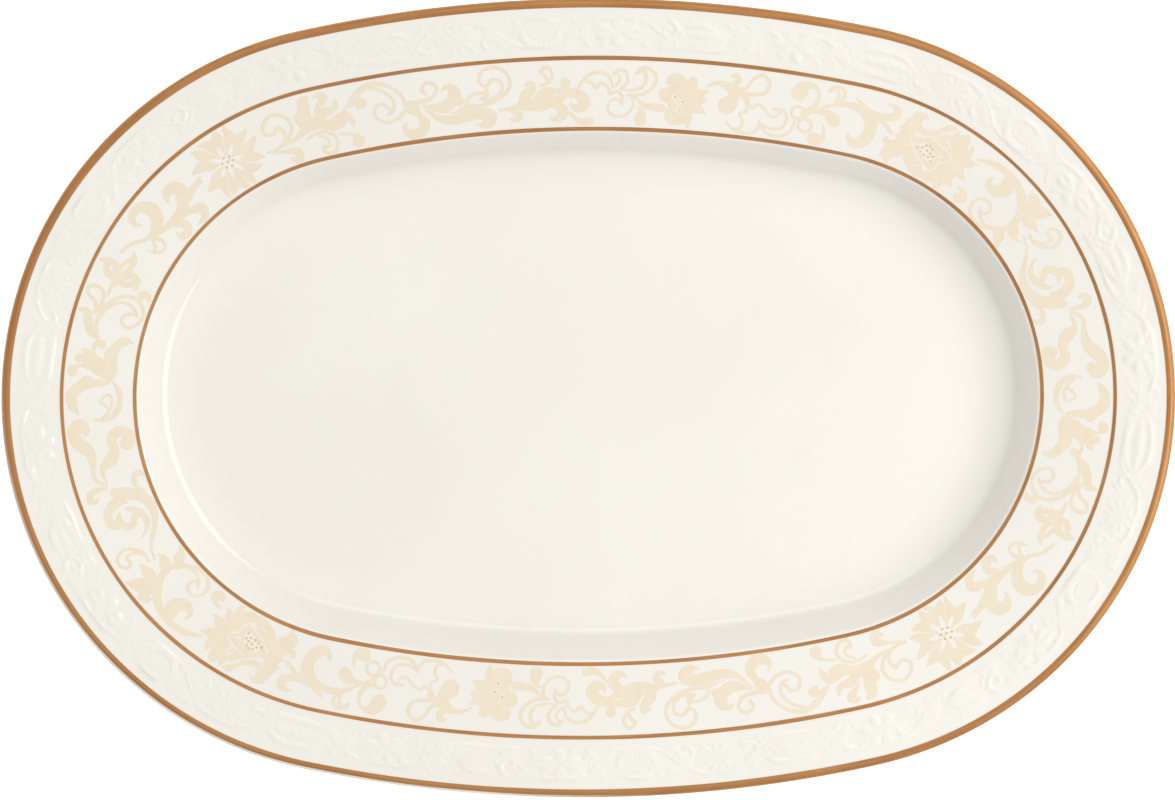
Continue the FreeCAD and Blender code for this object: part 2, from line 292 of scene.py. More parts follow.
def glaze_material():
    """Clear gloss over warm white china, with a slow swim in its surface and a few iron specks."""
    material, tree, shader, place = new_material("china_glaze")
    cloud = noise(tree, place, 14, 4)
    tone = node_colour(tree, (0.845, 0.822, 0.762), (0.870, 0.848, 0.790), between(tree, cloud, 0.35, 0.65))
    speck = tree.nodes.new("ShaderNodeTexVoronoi")
    speck.inputs["Scale"].default_value = 75
    tree.links.new(place, speck.inputs["Vector"])
    dot = between(tree, speck.outputs["Distance"], 0.010, 0.018, 1, 0)
    rare = between(tree, noise(tree, place, 31, 1), 0.60, 0.64)
    both = tree.nodes.new("ShaderNodeMath")
    both.operation = "MULTIPLY"
    tree.links.new(dot, both.inputs[0])
    tree.links.new(rare, both.inputs[1])
    mix = tree.nodes.new("ShaderNodeMix")
    mix.data_type = "RGBA"
    mix.inputs["B"].default_value = (0.45, 0.37, 0.28, 1)
    tree.links.new(both.outputs[0], mix.inputs["Factor"])
    tree.links.new(tone, mix.inputs["A"])
    tree.links.new(mix.outputs["Result"], shader.inputs["Base Color"])
    shine = between(tree, noise(tree, place, 60, 4), 0.3, 0.7, 0.05, 0.10)
    tree.links.new(shine, shader.inputs["Roughness"])
    shader.inputs["IOR"].default_value = 1.54
    shader.inputs["Specular IOR Level"].default_value = 0.55
    swim = bump(tree, noise(tree, place, 70, 2), 0.3 * MM, 0.25)
    skin = bump(tree, noise(tree, place, 900, 2), 0.01 * MM, 0.3, swim)
    tree.links.new(skin, shader.inputs["Normal"])
    return material


glaze = glaze_material()

face = spun(
    "glaze_of_the_eating_side",
    section(
        (RELIEF_END, rim_top(RELIEF_END)),
        (RIM_WIDTH, rim_top(RIM_WIDTH), WELL_CORNER_RADIUS),
        (BENCH_INSET, BENCH_TOP, BENCH_CORNER_RADIUS),
        (FLOOR_INSET, FLOOR_TOP, FLOOR_FILLET),
        (CORE_INSET, FLOOR_TOP),
    ),
)
filled(face)
faced(face, up=True)
thickened(face, GLAZE, -1)

back = spun(
    "glaze_of_the_back",
    section(
        (RELIEF_START, rim_top(RELIEF_START)),
        (0, EDGE_TOP, LIP_RADIUS),
        (0, EDGE_UNDER, LIP_RADIUS),
        (*root_corner(), RIM_ROOT_RADIUS),
        (BASE_CORNER, FLOOR_UNDER, BASE_RADIUS),
        (FOOT_INSET, FLOOR_UNDER, FOOT_ROOT_RADIUS),
        (FOOT_INSET + FOOT_DRAFT, 0, FOOT_TOE_RADIUS),
        (FOOT_FLAT_START, 0),
    ),
)
faced(back, up=False)
thickened(back, GLAZE, -1)

recess = spun(
    "glaze_inside_the_foot",
    section(
        (FOOT_FLAT_END, 0),
        (FOOT_END - FOOT_DRAFT, 0, FOOT_TOE_RADIUS),
        (FOOT_END, FLOOR_UNDER, FOOT_ROOT_RADIUS),
        (CORE_INSET, FLOOR_UNDER),
    ),
)
filled(recess)
faced(recess, up=False)
thickened(recess, GLAZE, -1)

for piece, node in ((face, "glaze_face"), (back, "glaze_back"), (recess, "glaze_recess")):
    piece.data.materials.append(glaze)
    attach(piece, "root")
    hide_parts(node)

# ---------------------------------------------------------------- The gilding
# Gold laid on with a banding brush while the platter turned on a wheel: one broad band round the lip and
# two fine lines. The bristles leave streaks along each band, and its edges waver a little.

GOLD = 0.09 * MM
LINE_WIDTH = 1.1 * MM
LIP_BAND_TOP = 2.5 * MM
LIP_BAND_UNDER = 1.0 * MM
OUTER_LINE_INSET = 17.7 * MM
INNER_LINE_INSET = RIM_WIDTH - 1.2 * MM
LIP_STILL = 1.6 * MM  # the band's edge wavers only this far in from the lip and beyond
WAVER = 0.055 * MM
WEAR_STARTS = (0.47, 0.56)  # the worn stretch of the lip fades in here, in metres round from the right end
WEAR_ENDS = (0.74, 0.69)


def length_round(inset):
    """Length of half the oval at an inset, from the right end to the left one."""
    return 2 * (JOIN_ANGLE * (END_RADIUS - inset) + (math.pi / 2 - JOIN_ANGLE) * (SIDE_RADIUS - inset))


def way_round(x, y, inset):
    """How far round the oval of that inset a point lies, anticlockwise from the right end."""
    across, along = abs(y), abs(x)
    end_turn = math.atan2(across, along - END_CENTRE)
    if along > END_CENTRE and end_turn < JOIN_ANGLE:
        quarter = (END_RADIUS - inset) * end_turn
    else:
        side_turn = math.pi / 2 - math.atan2(across + SIDE_CENTRE, along)
        quarter = length_round(inset) / 2 - (SIDE_RADIUS - inset) * side_turn
    if x < 0:
        quarter = length_round(inset) - quarter
    return quarter if y >= 0 else 2 * length_round(inset) - quarter


def measured_round(piece):
    """A map of the band: metres round the oval, and metres across it and down over the lip."""
    layer = piece.data.uv_layers.new(name="round")
    whole = 2 * length_round(0)
    for polygon in piece.data.polygons:
        middle = way_round(polygon.center.x, polygon.center.y, 0)
        for loop in polygon.loop_indices:
            point = piece.data.vertices[piece.data.loops[loop].vertex_index].co
            round_it = way_round(point.x, point.y, 0)
            if abs(round_it - middle) > whole / 2:
                round_it += whole if round_it < middle else -whole
            layer.data[loop].uv = (round_it, inset_at(point.x, point.y) + point.z - EDGE_TOP)


def gold_material():
    """Copper-red gold with bristle streaks along it, rubbed to the glaze where hands hold the lip."""
    material, tree, shader, place = new_material("burnished_gold")
    along = tree.nodes.new("ShaderNodeUVMap")
    along.uv_map = "round"
    streak = noise(tree, along.outputs["UV"], 1, 4, (70, 5200, 1))
    patch = noise(tree, along.outputs["UV"], 1, 3, (34, 500, 1))
    mixed = tree.nodes.new("ShaderNodeMath")
    mixed.operation = "ADD"
    tree.links.new(between(tree, streak, 0.3, 0.7, 0, 0.55), mixed.inputs[0])
    tree.links.new(between(tree, patch, 0.35, 0.65, 0, 0.45), mixed.inputs[1])
    gilt = node_colour(tree, (0.42, 0.188, 0.066), (0.575, 0.292, 0.114), mixed.outputs[0])
    where = tree.nodes.new("ShaderNodeSeparateXYZ")
    tree.links.new(along.outputs["UV"], where.inputs[0])
    ragged = tree.nodes.new("ShaderNodeMath")
    ragged.operation = "MULTIPLY_ADD"
    ragged.inputs[1].default_value = 0.5 * MM
    tree.links.new(patch, ragged.inputs[0])
    tree.links.new(where.outputs["Y"], ragged.inputs[2])
    worn = between(tree, ragged.outputs[0], 0.70 * MM, 0.55 * MM)
    for fade in (WEAR_STARTS, WEAR_ENDS):
        share = tree.nodes.new("ShaderNodeMath")
        share.operation = "MULTIPLY"
        tree.links.new(worn, share.inputs[0])
        tree.links.new(between(tree, where.outputs["X"], *fade), share.inputs[1])
        worn = share.outputs[0]
    rubbed = tree.nodes.new("ShaderNodeMix")
    rubbed.data_type = "RGBA"
    rubbed.inputs["B"].default_value = (0.80, 0.775, 0.70, 1)
    tree.links.new(gilt, rubbed.inputs["A"])
    tree.links.new(worn, rubbed.inputs["Factor"])
    tree.links.new(rubbed.outputs["Result"], shader.inputs["Base Color"])
    tree.links.new(between(tree, worn, 0, 1, 0.9, 0), shader.inputs["Metallic"])
    tree.links.new(between(tree, streak, 0.3, 0.7, 0.57, 0.45), shader.inputs["Roughness"])
    tree.links.new(bump(tree, streak, 0.02 * MM, 0.5), shader.inputs["Normal"])
    return material


gold = gold_material()


def wavered(piece, middle, seed):
    """Moves the band's edges in and out by a tenth of a millimetre or so, as a hand does."""
    rng = np.random.default_rng(seed)
    waves = [
        (n, rng.uniform(0, 2 * math.pi), rng.uniform(0.4, 1.0) / n**0.5) for n in (2, 3, 5, 9, 14, 23, 38)
    ]
    whole = 2 * length_round(0)
    for vertex in piece.data.vertices:
        x, y, z = vertex.co
        inset = inset_at(x, y)
        turn = 2 * math.pi * way_round(x, y, 0) / whole
        edge = 1 if inset > middle else -1
        shift = WAVER * sum(w * math.sin(n * turn + p + edge * 1.3) for n, p, w in waves)
        move = shift if middle > 0 or inset > LIP_STILL else 0
        outward = Vector((x - math.copysign(min(abs(x), END_CENTRE), x), y, 0))
        if abs(x) < END_CENTRE:
            outward = Vector((x, y + math.copysign(SIDE_CENTRE, y), 0))
        outward.normalize()
        vertex.co -= outward * move
        vertex.co.z -= move * math.tan(RIM_SLOPE)


def gold_line(name, inset):
    half = LINE_WIDTH / 2
    crown = 5
    line = [Vector((inset - half + 2 * half * i / crown, 0)) for i in range(crown + 1)]
    for point in line:
        point.y = rim_top(point.x)
    band = spun(name, line)
    faced(band, up=True)
    wavered(band, inset, round(inset / MM))
    thickened(band, GOLD, 1)
    return band


lip_line = section(
    (LIP_BAND_TOP, rim_top(LIP_BAND_TOP)),
    (0, EDGE_TOP, LIP_RADIUS),
    (0, EDGE_UNDER, LIP_RADIUS),
    (RELIEF_START, rim_under(RELIEF_START)),
)
while lip_line[-2].x > LIP_BAND_UNDER:
    lip_line.pop()
share = (LIP_BAND_UNDER - lip_line[-2].x) / (lip_line[-1].x - lip_line[-2].x)
lip_line[-1] = lip_line[-2].lerp(lip_line[-1], share)
lip = spun("gold_round_the_lip", lip_line)
faced(lip, up=True)
wavered(lip, 0, 3)
thickened(lip, GOLD, 1)

outer_line = gold_line("gold_line_outside_the_print", OUTER_LINE_INSET)
inner_line = gold_line("gold_line_inside_the_print", INNER_LINE_INSET)

for piece, node in (
    (lip, "lip_gold_band"),
    (outer_line, "outer_gold_line"),
    (inner_line, "inner_gold_line"),
):
    measured_round(piece)
    piece.data.materials.append(gold)
    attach(piece, "root")
    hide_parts(node)

# ---------------------------------------------------------------- The transfer print
# Apricot scrolls and flowers, printed on four sheets of transfer and slid wet onto the rim, end to end, so
# that a hair of bare glaze shows at each join. The same half of the pattern serves both halves of the rim.

INK = 0.06 * MM
PRINT_FOOT = 38.7 * MM  # inset of the pattern's lower edge
PRINT_MIDDLE = 28.5 * MM  # inset of the oval that the pattern is drawn along
PATTERN_LENGTH = 390.0  # of one half, in the drawing's millimetres
LONG_SHEET_ENDS = (-173.6, 137.4)
JOIN_GAP = 0.12  # half of the bare hair between two sheets
CELL = 0.2  # of the drawing grid
FAR = 3.0  # what a field holds where no stroke is near
MARGIN = 0.8  # how far outside a stroke the field still follows it
SHEET_EDGES = (0.25, 20.1)
INNER_STEP = 12  # cells between the points set inside wide shapes, which keep the triangles short

# Every stroke is a list of (along, across, half width of the brush) in the drawing's millimetres, and across
# counts outwards from the inner gold line. A stroke of even width gives its half width first.
S_COMMAS = [
    [(9.5, 14.8, 0.3), (8.3, 14.2, 1), (6.8, 15.8, 2), (8, 18, 1.7), (11, 17.3, 1.9), (14.5, 14.2, 1.6),
     (18.5, 14, 0.9), (22, 14.6, 0.6), (24, 13.2, 0.5), (25.2, 11.2, 0.2)],
    [(13.8, 2.7, 2.3), (11.5, 1.6, 1.4), (9.6, 4.2, 1.7), (11.5, 7.1, 1.4), (15.5, 6.9, 1.4),
     (18.2, 8.6, 1.9), (19.8, 11.2, 1), (22, 11.8, 0.6), (24.4, 11.3, 0.2)],
    [(26, 11.5, 0.25), (25.6, 14, 0.6), (25.9, 16.5, 1), (27.3, 17.8, 1), (28.4, 16.8, 0.8),
     (28.2, 15.2, 0.3)],
]
LOBED_LEAF = [
    [(27.9, 10.2, 1.3), (29.3, 6.8, 1.8), (32, 3.2, 1.6), (36, 1.6, 1.4), (40, 2.1, 1), (44, 4.6, 0.7),
     (48, 7.8, 0.4), (51.5, 8.8, 0.3)],
    [(32.2, 7.8, 0.2), (30.8, 9.5, 1.3), (31.5, 12.5, 1.5), (33.5, 14.6, 1.2), (36, 14.6, 1.3),
     (37, 13.2, 1.2), (35.5, 11.9, 0.7), (33.8, 11, 0.2)],
    [(36, 12, 0.8), (38.5, 11.2, 1.1), (39, 9, 1), (37.2, 7.5, 1)],
    [(33.5, 9, 0.2), (34.8, 6.9, 0.9), (37.5, 5.1, 1.1), (40.5, 4.9, 0.8), (42.8, 6.6, 0.4),
     (43.8, 8.5, 0.2)],
    [(31, 1.2, 0.2), (29, 3.2, 0.5), (26.5, 3.9, 0.5), (24, 2.7, 0.4), (24, 1.2, 0.4),
     (25.5, 0.4, 0.4)],
    [(25, 1.2, 0.3), (25.2, 2.6, 0.3), (27.5, 3.2, 0.3)],
    [(50.9, 10.5, 0.35), (48.5, 10.3, 0.45), (46, 11.8, 0.45), (44.2, 15, 0.45), (45.5, 18, 0.45),
     (47.5, 18.3, 0.45), (49, 16.8, 0.4), (48.3, 15.2, 0.4), (46.5, 15.6, 0.4), (46.2, 13.6, 0.35),
     (47.2, 11.8, 0.4), (48.5, 10.8, 0.4)],
]
BIG_SCROLL = [
    [(77.6, 14.8, 0.2), (73, 17, 0.9), (67, 17.7, 1), (61.5, 16, 1.2), (57.7, 12, 1.1), (56.2, 8, 0.9),
     (57.5, 4.6, 0.7), (60, 2.5, 0.6), (64, 2.1, 0.4), (66.8, 4.4, 0.3)],
    [(51.8, 19.6, 0.2), (53.2, 18.6, 0.9), (54.6, 17, 1.9), (57, 14.5, 1.6)],
    [(59.9, 16.7, 0.2), (59.3, 18.3, 0.8), (57.8, 18, 1.5), (57.3, 15.2, 1.4)],
    [(50.2, 13.3, 0.2), (52, 12.9, 0.9), (54.4, 12.9, 1.9), (56.3, 14, 1.3)],
    [(50.8, 7.2, 0.2), (52.3, 6.5, 0.7), (54.6, 7.3, 1.7), (56.5, 8.2, 1.1)],
    [(53, 0.6, 0.25), (54.6, 1.2, 0.8), (56, 2.9, 1.7), (57.6, 4.6, 1.1)],
    [(66.3, 16, 1.9), (65.9, 13.4, 2.1), (67.6, 11, 1.6), (70, 11.2, 1.1), (70.9, 12.6, 0.6),
     (70.4, 14, 0.15)],
    [(59.5, 2.8, 0.6), (62.5, 0.8, 0.5), (66, 0.5, 0.5), (69, 2, 0.5), (69.8, 4.8, 0.45),
     (68.5, 7, 0.45), (66, 7.5, 0.45), (64.2, 6.2, 0.45), (64.5, 4.5, 0.45), (66, 3.4, 0.5),
     (67, 4.7, 0.2)],
    [(77, 5, 0.2), (74.5, 4.5, 0.8), (73.4, 2.9, 1.5), (75, 1.9, 0.9), (76, 2.9, 0.3)],
]
PEONY = [
    [(84.2, 17, 1.6), (83.2, 13, 2.8), (83, 9.5, 3), (83.4, 6, 2.9), (86, 3.2, 2)],
    [(86, 12, 2), (90, 10.3, 3.3), (93.6, 10, 2), (96.5, 9.8, 0.7)],
    [(87.5, 6.5, 2.2), (91.5, 7, 2.2), (94.5, 8, 1.5)],
    [(82, 13, 2), (79.2, 12.4, 1.7), (77.6, 13.2, 0.7), (76.1, 13.6, 0.15)],
    [(82, 9, 2), (79.4, 8.6, 1.6), (77.6, 7.8, 0.6), (76.3, 7.7, 0.15)],
    [(83, 6, 2), (81, 5.2, 1.5), (79.6, 4.1, 0.6), (78.3, 3.8, 0.15)],
    [(82.5, 14, 1.6), (80.4, 15, 1.1), (80, 16.2, 0.6), (80.7, 17.4, 0.15)],
    [(84.5, 15.5, 1.8), (82.9, 17.7, 1.2), (83.5, 19.4, 0.2)],
    [(84.5, 15.5, 1.8), (86, 17.2, 0.8), (85.8, 19, 0.2)],
    [(84, 4, 1.6), (82.5, 1.9, 1.1), (83.4, 0.6, 0.2)],
    [(85.5, 3, 1.8), (86.8, 1.9, 1.2), (88, 3.4, 0.2)],
    [(86.9, 18.9, 0.3), (88.4, 18.4, 0.9), (90, 16, 0.9), (91.8, 14.2, 1), (94.5, 13.6, 1),
     (96.6, 14.4, 0.8)],
    [(87.2, 15.6, 0.9), (89.2, 14.2, 1.2), (92.8, 12.4, 1), (96.4, 10.6, 0.5)],
    [(87.2, 1.3, 0.3), (89.2, 1.9, 1.2), (92.3, 3, 2), (95, 4.8, 1.9), (96.6, 7.4, 0.9)],
    [(97.5, 17, 1.5), (98.5, 13, 2), (98.8, 9.5, 2), (99.5, 6, 2.3), (101.5, 3.5, 1.5),
     (101.3, 0.5, 0.3)],
    [(99, 13, 1), (100.2, 12.2, 0.8), (101.4, 12.4, 0.2)],
    [(99.5, 10, 1), (100.9, 9.4, 0.7), (101.9, 9.8, 0.15)],
    [(101, 7, 1), (102.8, 6.5, 0.8), (104.2, 7, 0.7), (103.8, 8, 0.2)],
    [(102.5, 5, 1), (103.3, 2.8, 0.8), (101.2, 0.8, 0.3)],
    [(97.5, 17, 1.4), (96.2, 18.2, 0.7), (94.8, 17.6, 0.2)],
]
BRANCH = [
    [(125.8, 11.2, 0.2), (122, 13.5, 0.6), (118, 14.4, 0.9), (114, 14, 1.2), (110.5, 12, 1.9),
     (109.3, 8, 1.8), (111, 4.3, 1.8), (113.5, 3.3, 1.3), (115.3, 4.6, 0.7), (115.8, 5.8, 0.2)],
    [(112.5, 14, 1), (108, 13.3, 0.9), (104.5, 14, 1.1), (103.3, 15.8, 1.2), (104.5, 17.4, 0.7),
     (106.6, 17.3, 0.25)],
    [(108.5, 12.8, 0.6), (105.5, 11.3, 0.6), (103, 9.5, 0.6)],
    [(113, 15, 0.8), (115.5, 16.8, 0.2)],
    [(120, 14.8, 0.4), (118.9, 17, 0.4), (119.8, 18.8, 0.4), (121.5, 19, 0.5), (123, 18, 0.7),
     (123.8, 17, 0.2)],
    [(121.5, 18.6, 0.5), (120.6, 16.5, 0.45), (121, 14.5, 0.45)],
    [(129.5, 9.6, 1.2), (127.3, 11.8, 0.9), (126.2, 15, 0.5), (127.8, 17.8, 0.6), (131, 17.6, 1.6),
     (132.3, 15.3, 2.3)],
    [(120.9, 9, 2.1), (122.8, 10.4, 1.2), (125.5, 10.6, 0.6), (129, 10.2, 0.8)],
    [(123.3, 6.5, 0.3), (122.9, 4, 0.7), (124, 2.2, 1.4), (125.7, 2.3, 1.9)],
]
WAVY_LEAF = [
    [(132.2, 6.3, 0.35), (133.2, 3, 0.45), (137, 1.2, 0.45), (140.5, 2, 0.45), (142.8, 5.2, 0.25)],
    [(142.5, 3.5, 0.4), (144, 1.5, 0.45), (147, 0.9, 0.45), (150, 1.5, 0.45), (152.8, 3.7, 0.25)],
    [0.42, (138.8, 9.2), (136, 9.3), (134.6, 7), (135.8, 4), (139, 3.2), (142.5, 4.5)],
    [0.42, (137, 9), (137.7, 7.3), (139.5, 7), (142, 9.2), (144, 10), (145, 8.7), (146.5, 9.8),
     (147.5, 10.5)],
    [0.42, (147, 10), (147, 7.5), (148.8, 6.5), (147.7, 4.5), (148, 2.5), (150.2, 1.5)],
    [(150, 13.8, 0.7), (147.8, 14.5, 0.5), (146, 17.5, 0.5), (143.5, 19, 0.6), (141.2, 16.8, 0.5),
     (142, 14, 0.5), (145.5, 12.8, 0.5), (150, 12.8, 0.7)],
    [(159.6, 13.7, 0.2), (156, 15.2, 0.7), (152.5, 14, 1.3), (151, 11, 1.4), (152.9, 8.7, 2.7)],
    [(151.5, 15, 1), (150.3, 16.8, 0.9), (151.3, 18, 0.7), (152.5, 17.4, 0.25)],
    [(147, 11, 0.8), (150, 13, 1)],
]
PANSY = [
    [(165, 10.5, 3.6), (166.5, 8, 3.8), (168, 9.5, 3)],
    [(167, 12, 2.4), (168.2, 14.5, 2.5), (170, 14.8, 1.3), (171, 13.6, 0.3)],
    [(164.5, 12, 2), (163.5, 14.8, 1.5)],
    [(169, 10.3, 2.4), (170.8, 10.3, 2.4)],
    [(167.5, 6, 2.4), (168.7, 4, 2.6), (166.5, 2.6, 1)],
    [(165, 6, 2), (164.5, 3.5, 1.3), (164.3, 0.5, 0.2)],
    [(163, 10.5, 2.4), (160.8, 11.6, 1), (158.8, 12.5, 0.2)],
    [(163.5, 8, 2.6), (161.2, 6.6, 1.2), (159, 5.5, 0.2)],
    [(162.5, 9, 2), (160.6, 9.3, 1), (159.2, 9.6, 0.2)],
    [(172.3, 6.3, 1.2), (175, 6.4, 1.1), (178, 7, 0.7), (180.3, 9.3, 0.3)],
    [(180, 6.5, 0.2), (178.3, 5, 0.8), (178.6, 2.5, 1.9)],
]
TWIN_CURLS = [
    [(182.5, 9.8, 0.4), (178, 10.3, 0.45), (174.8, 13, 0.5), (174.5, 16, 0.5), (177, 18.2, 0.5),
     (179, 17.5, 0.8), (180.5, 15.9, 0.2)],
    [(178, 17.5, 0.6), (177.2, 14.8, 0.5), (178.5, 12.2, 0.45), (181.5, 11.3, 0.4), (184.8, 11.4, 0.2)],
    [(184.8, 11.5, 0.4), (182.7, 14, 0.45), (183.3, 16.8, 0.5), (185.5, 17.3, 0.5), (187, 15.8, 0.2)],
    [(186, 16.6, 0.4), (184.9, 14.8, 0.4), (185.8, 13, 0.4), (187.3, 12, 0.3)],
    [(187.2, 12.3, 0.3), (188, 15, 0.5), (191, 16.6, 0.5), (194.5, 15.5, 0.5), (197.3, 12, 0.3)],
    [0.42, (184.4, 7), (184.3, 9.5), (186, 10.8), (188, 10), (188.5, 12), (190.5, 13.3), (192.3, 11.8),
     (193.5, 13.5), (195.5, 14)],
    [0.45, (181.2, 9.8), (180.9, 6.5), (183, 3.8), (186, 3.2), (188.4, 5), (187.8, 7.8), (185.8, 8.6),
     (184.4, 7.2)],
]
HOOKED_LEAF = [
    [(203, 8.5, 0.9), (200.5, 10.3, 1.2), (197.5, 10, 1.6), (195.5, 7.5, 1.8), (197, 5.7, 1.4),
     (199, 6.2, 0.8), (199.4, 7.8, 0.2)],
    [(193.9, 1.8, 1.2), (195.5, 1.4, 1.1), (197.5, 2, 0.8), (200.3, 4.8, 0.3)],
    [(203, 9.5, 1.5), (206, 9.3, 3.1), (209.5, 7.8, 2.8), (213, 7.3, 1.7), (216, 6.7, 0.9),
     (221.3, 6, 0.25)],
    [(201, 13.6, 1.5), (201.3, 11.8, 0.9), (203.5, 10.8, 1)],
    [(204, 7, 1.5), (201.8, 4.8, 1.5), (203.5, 2.6, 1.1), (205.3, 2.7, 0.5), (206, 3.3, 0.2)],
    [(213, 13.2, 0.3), (211, 13.6, 0.9), (211, 12, 1.2), (213, 9.5, 1.8), (212.5, 7.5, 2)],
    [(217, 6, 0.8), (215.3, 4, 1.2), (216.5, 2.8, 0.8), (218.2, 3.2, 0.2)],
    [(208.3, 12.8, 0.3), (206, 13.7, 0.5), (204.8, 16.2, 0.5), (206.3, 18.5, 0.5), (208.2, 17, 0.5),
     (207, 15.9, 0.5), (206.2, 14.2, 0.5)],
]
LONG_LEAVES = [
    [(235.8, 6.5, 0.15), (233.3, 7, 0.35), (230.8, 7.9, 0.6), (226, 8.1, 0.5), (220.5, 9.8, 0.5),
     (217.4, 13.5, 0.5), (218.5, 17.5, 0.5), (222, 19.3, 0.5), (225.5, 18, 0.5), (226.2, 15, 0.5),
     (224.3, 13.7, 0.5), (222.5, 15.5, 0.6), (220.3, 15, 0.5), (219.6, 12.8, 0.5), (221.5, 10.2, 0.5),
     (224.5, 9.5, 0.5), (226, 9.6, 0.3)],
    [(224.5, 13.4, 0.2), (224.4, 11.6, 0.7), (225, 10.5, 0.7), (226.6, 10, 0.2)],
    [(225.3, 11.8, 0.5), (228.3, 11.6, 0.5), (230.2, 10.2, 0.6), (230.6, 8.4, 0.6)],
    [(228.6, 2.5, 0.15), (227, 2, 0.6), (225, 2.5, 1.6), (224, 4.4, 2.1), (226.5, 5.7, 1.75),
     (231, 5.2, 1.7), (235, 4.6, 1.45), (238.5, 5.1, 1.1), (241.3, 7, 0.6), (243.3, 8.9, 0.15)],
    [(237.8, 13.5, 0.15), (236.6, 14.6, 0.6), (234.5, 13.9, 1.5), (233.9, 11.9, 1.9), (235, 10.1, 1.8),
     (237.3, 8.7, 1.8), (240, 8.8, 1.2), (243.5, 9.7, 0.5)],
    [(233.5, 10.4, 1.5), (232.8, 10, 1.4)],
    [(249, 11.5, 0.5), (243.5, 11.3, 0.7), (240.3, 12.3, 0.5), (239, 15, 0.5), (241.3, 16.8, 0.5),
     (243.4, 15, 0.5), (242.5, 13.5, 0.5)],
    [(246.2, 9, 1.7), (247, 9.3, 1.5)],
    [(245, 7.5, 0.9), (243.8, 4.3, 1.5), (245.8, 1.8, 1.6), (248.5, 2, 1.4), (250, 4, 0.7),
     (249, 5.6, 0.2)],
]
LARGE_SCROLL = [
    [(248.5, 10, 0.5), (249.5, 14, 0.5), (253, 17.5, 0.5), (257.5, 18.9, 0.7), (262, 17, 1),
     (266.6, 12.7, 0.2)],
    [(249, 9.5, 0.5), (251, 7.5, 0.5), (255, 6.6, 0.5), (258, 8.8, 0.5), (257.5, 11.8, 0.5),
     (255.2, 12.3, 0.5), (253.6, 10.3, 0.5)],
    [(258, 17.8, 0.5), (254, 15.6, 0.45), (251.9, 12, 0.45), (253, 9.5, 0.5), (254.6, 8.9, 0.3)],
    [(265, 13, 0.2), (263, 14.5, 0.7), (261.3, 13.7, 1.4), (262.8, 12.5, 0.5)],
]
LILY = [
    [(264.8, 7.3, 0.2), (265.2, 9.2, 0.9), (267, 11, 1.45), (269.2, 10, 1.6), (272, 9.6, 1.2),
     (275, 10.4, 1.8)],
    [(268, 8.9, 0.9), (270.5, 8, 0.9), (273, 8.9, 1)],
    [(269, 16.5, 0.2), (269, 14.6, 0.8), (270.4, 13.4, 0.95), (272.6, 13.2, 1.4), (274.6, 11.8, 1.4),
     (276.5, 10.8, 1.7)],
    [(275, 18, 0.2), (273.7, 18.7, 0.7), (272.3, 17.8, 1.4), (273.2, 16.2, 1.05), (274.7, 14.5, 0.6),
     (276.2, 12.8, 0.25)],
    [(276.5, 19, 0.3), (278, 17.8, 1.3), (278.2, 15.5, 1.75), (278.5, 13, 1.8), (277.8, 10.8, 1.9)],
    [(280.2, 13.2, 1.45), (279.8, 11.8, 1.5), (278.5, 10.5, 1.5)],
    [(276, 9.9, 1.2), (279.5, 9.2, 1.1), (282.5, 7.8, 0.7), (286.3, 6.8, 0.2)],
    [(269.8, 5.7, 0.3), (267, 5.3, 0.4), (265, 4.3, 0.8), (264.4, 2.6, 1.9)],
    [(279.5, 6.5, 0.3), (275, 7.6, 0.4), (271.5, 6, 0.5), (270.6, 3.5, 0.5), (272, 1, 0.5),
     (274.5, 0.9, 0.5), (275.4, 2.8, 0.5), (273.5, 3, 0.5), (273.3, 5, 0.4), (276, 6.7, 0.3)],
    [(291, 5.8, 0.25), (287, 4.9, 0.6), (283.5, 3.4, 1.3), (283.8, 1.5, 1.2), (285.5, 1.6, 0.8),
     (286.5, 2.7, 0.2)],
    [(292.5, 6.6, 0.4), (289, 6.6, 0.5), (285, 8.3, 0.5), (282.9, 12, 0.5), (284.5, 15.5, 0.5),
     (287.5, 16.8, 0.5), (290.5, 15, 0.5), (291.2, 12.5, 0.5), (289, 11.2, 0.5), (286.8, 12.5, 0.6),
     (285.6, 9.5, 0.5), (287, 7.3, 0.5)],
]
SECOND_BRANCH = [
    [(314, 10.6, 0.9), (317.5, 10, 0.9), (321, 9, 1.3), (326, 7.6, 1.2), (331, 7.6, 1),
     (335.5, 8.9, 0.5)],
    [(323.5, 8.2, 1.8), (320.8, 11.5, 2), (321.5, 14.2, 1.8), (324, 14.6, 1.3), (325.7, 12.5, 0.4),
     (325.7, 11.6, 0.2)],
    [(335, 9.5, 1.3), (331.5, 11.5, 1.8), (330.5, 15, 1.9), (332.5, 18, 1.4), (335.5, 17.8, 1.1),
     (336.7, 15.8, 0.7), (335.6, 14, 0.2)],
    [(335, 9.5, 1), (338.5, 10.5, 0.6), (342, 13.5, 0.5), (345.3, 14.8, 0.5)],
    [(327.5, 6.3, 0.2), (323, 5.5, 0.9), (319.8, 3.8, 1.5), (321, 1.5, 1.1), (324.4, 1, 0.2)],
    [(329.5, 6.5, 0.8), (327.3, 3.8, 1.3), (329, 1.7, 1.3), (331.3, 2.5, 1), (331.3, 4.3, 0.2)],
    [(337, 9, 0.8), (336, 6.5, 0.5), (337.2, 4.4, 0.4), (339.3, 4.8, 0.4), (340.7, 7, 0.4),
     (341, 8.5, 0.2)],
    [(337.5, 8.8, 0.5), (339, 6.8, 0.4), (340.3, 6.7, 0.3)],
]
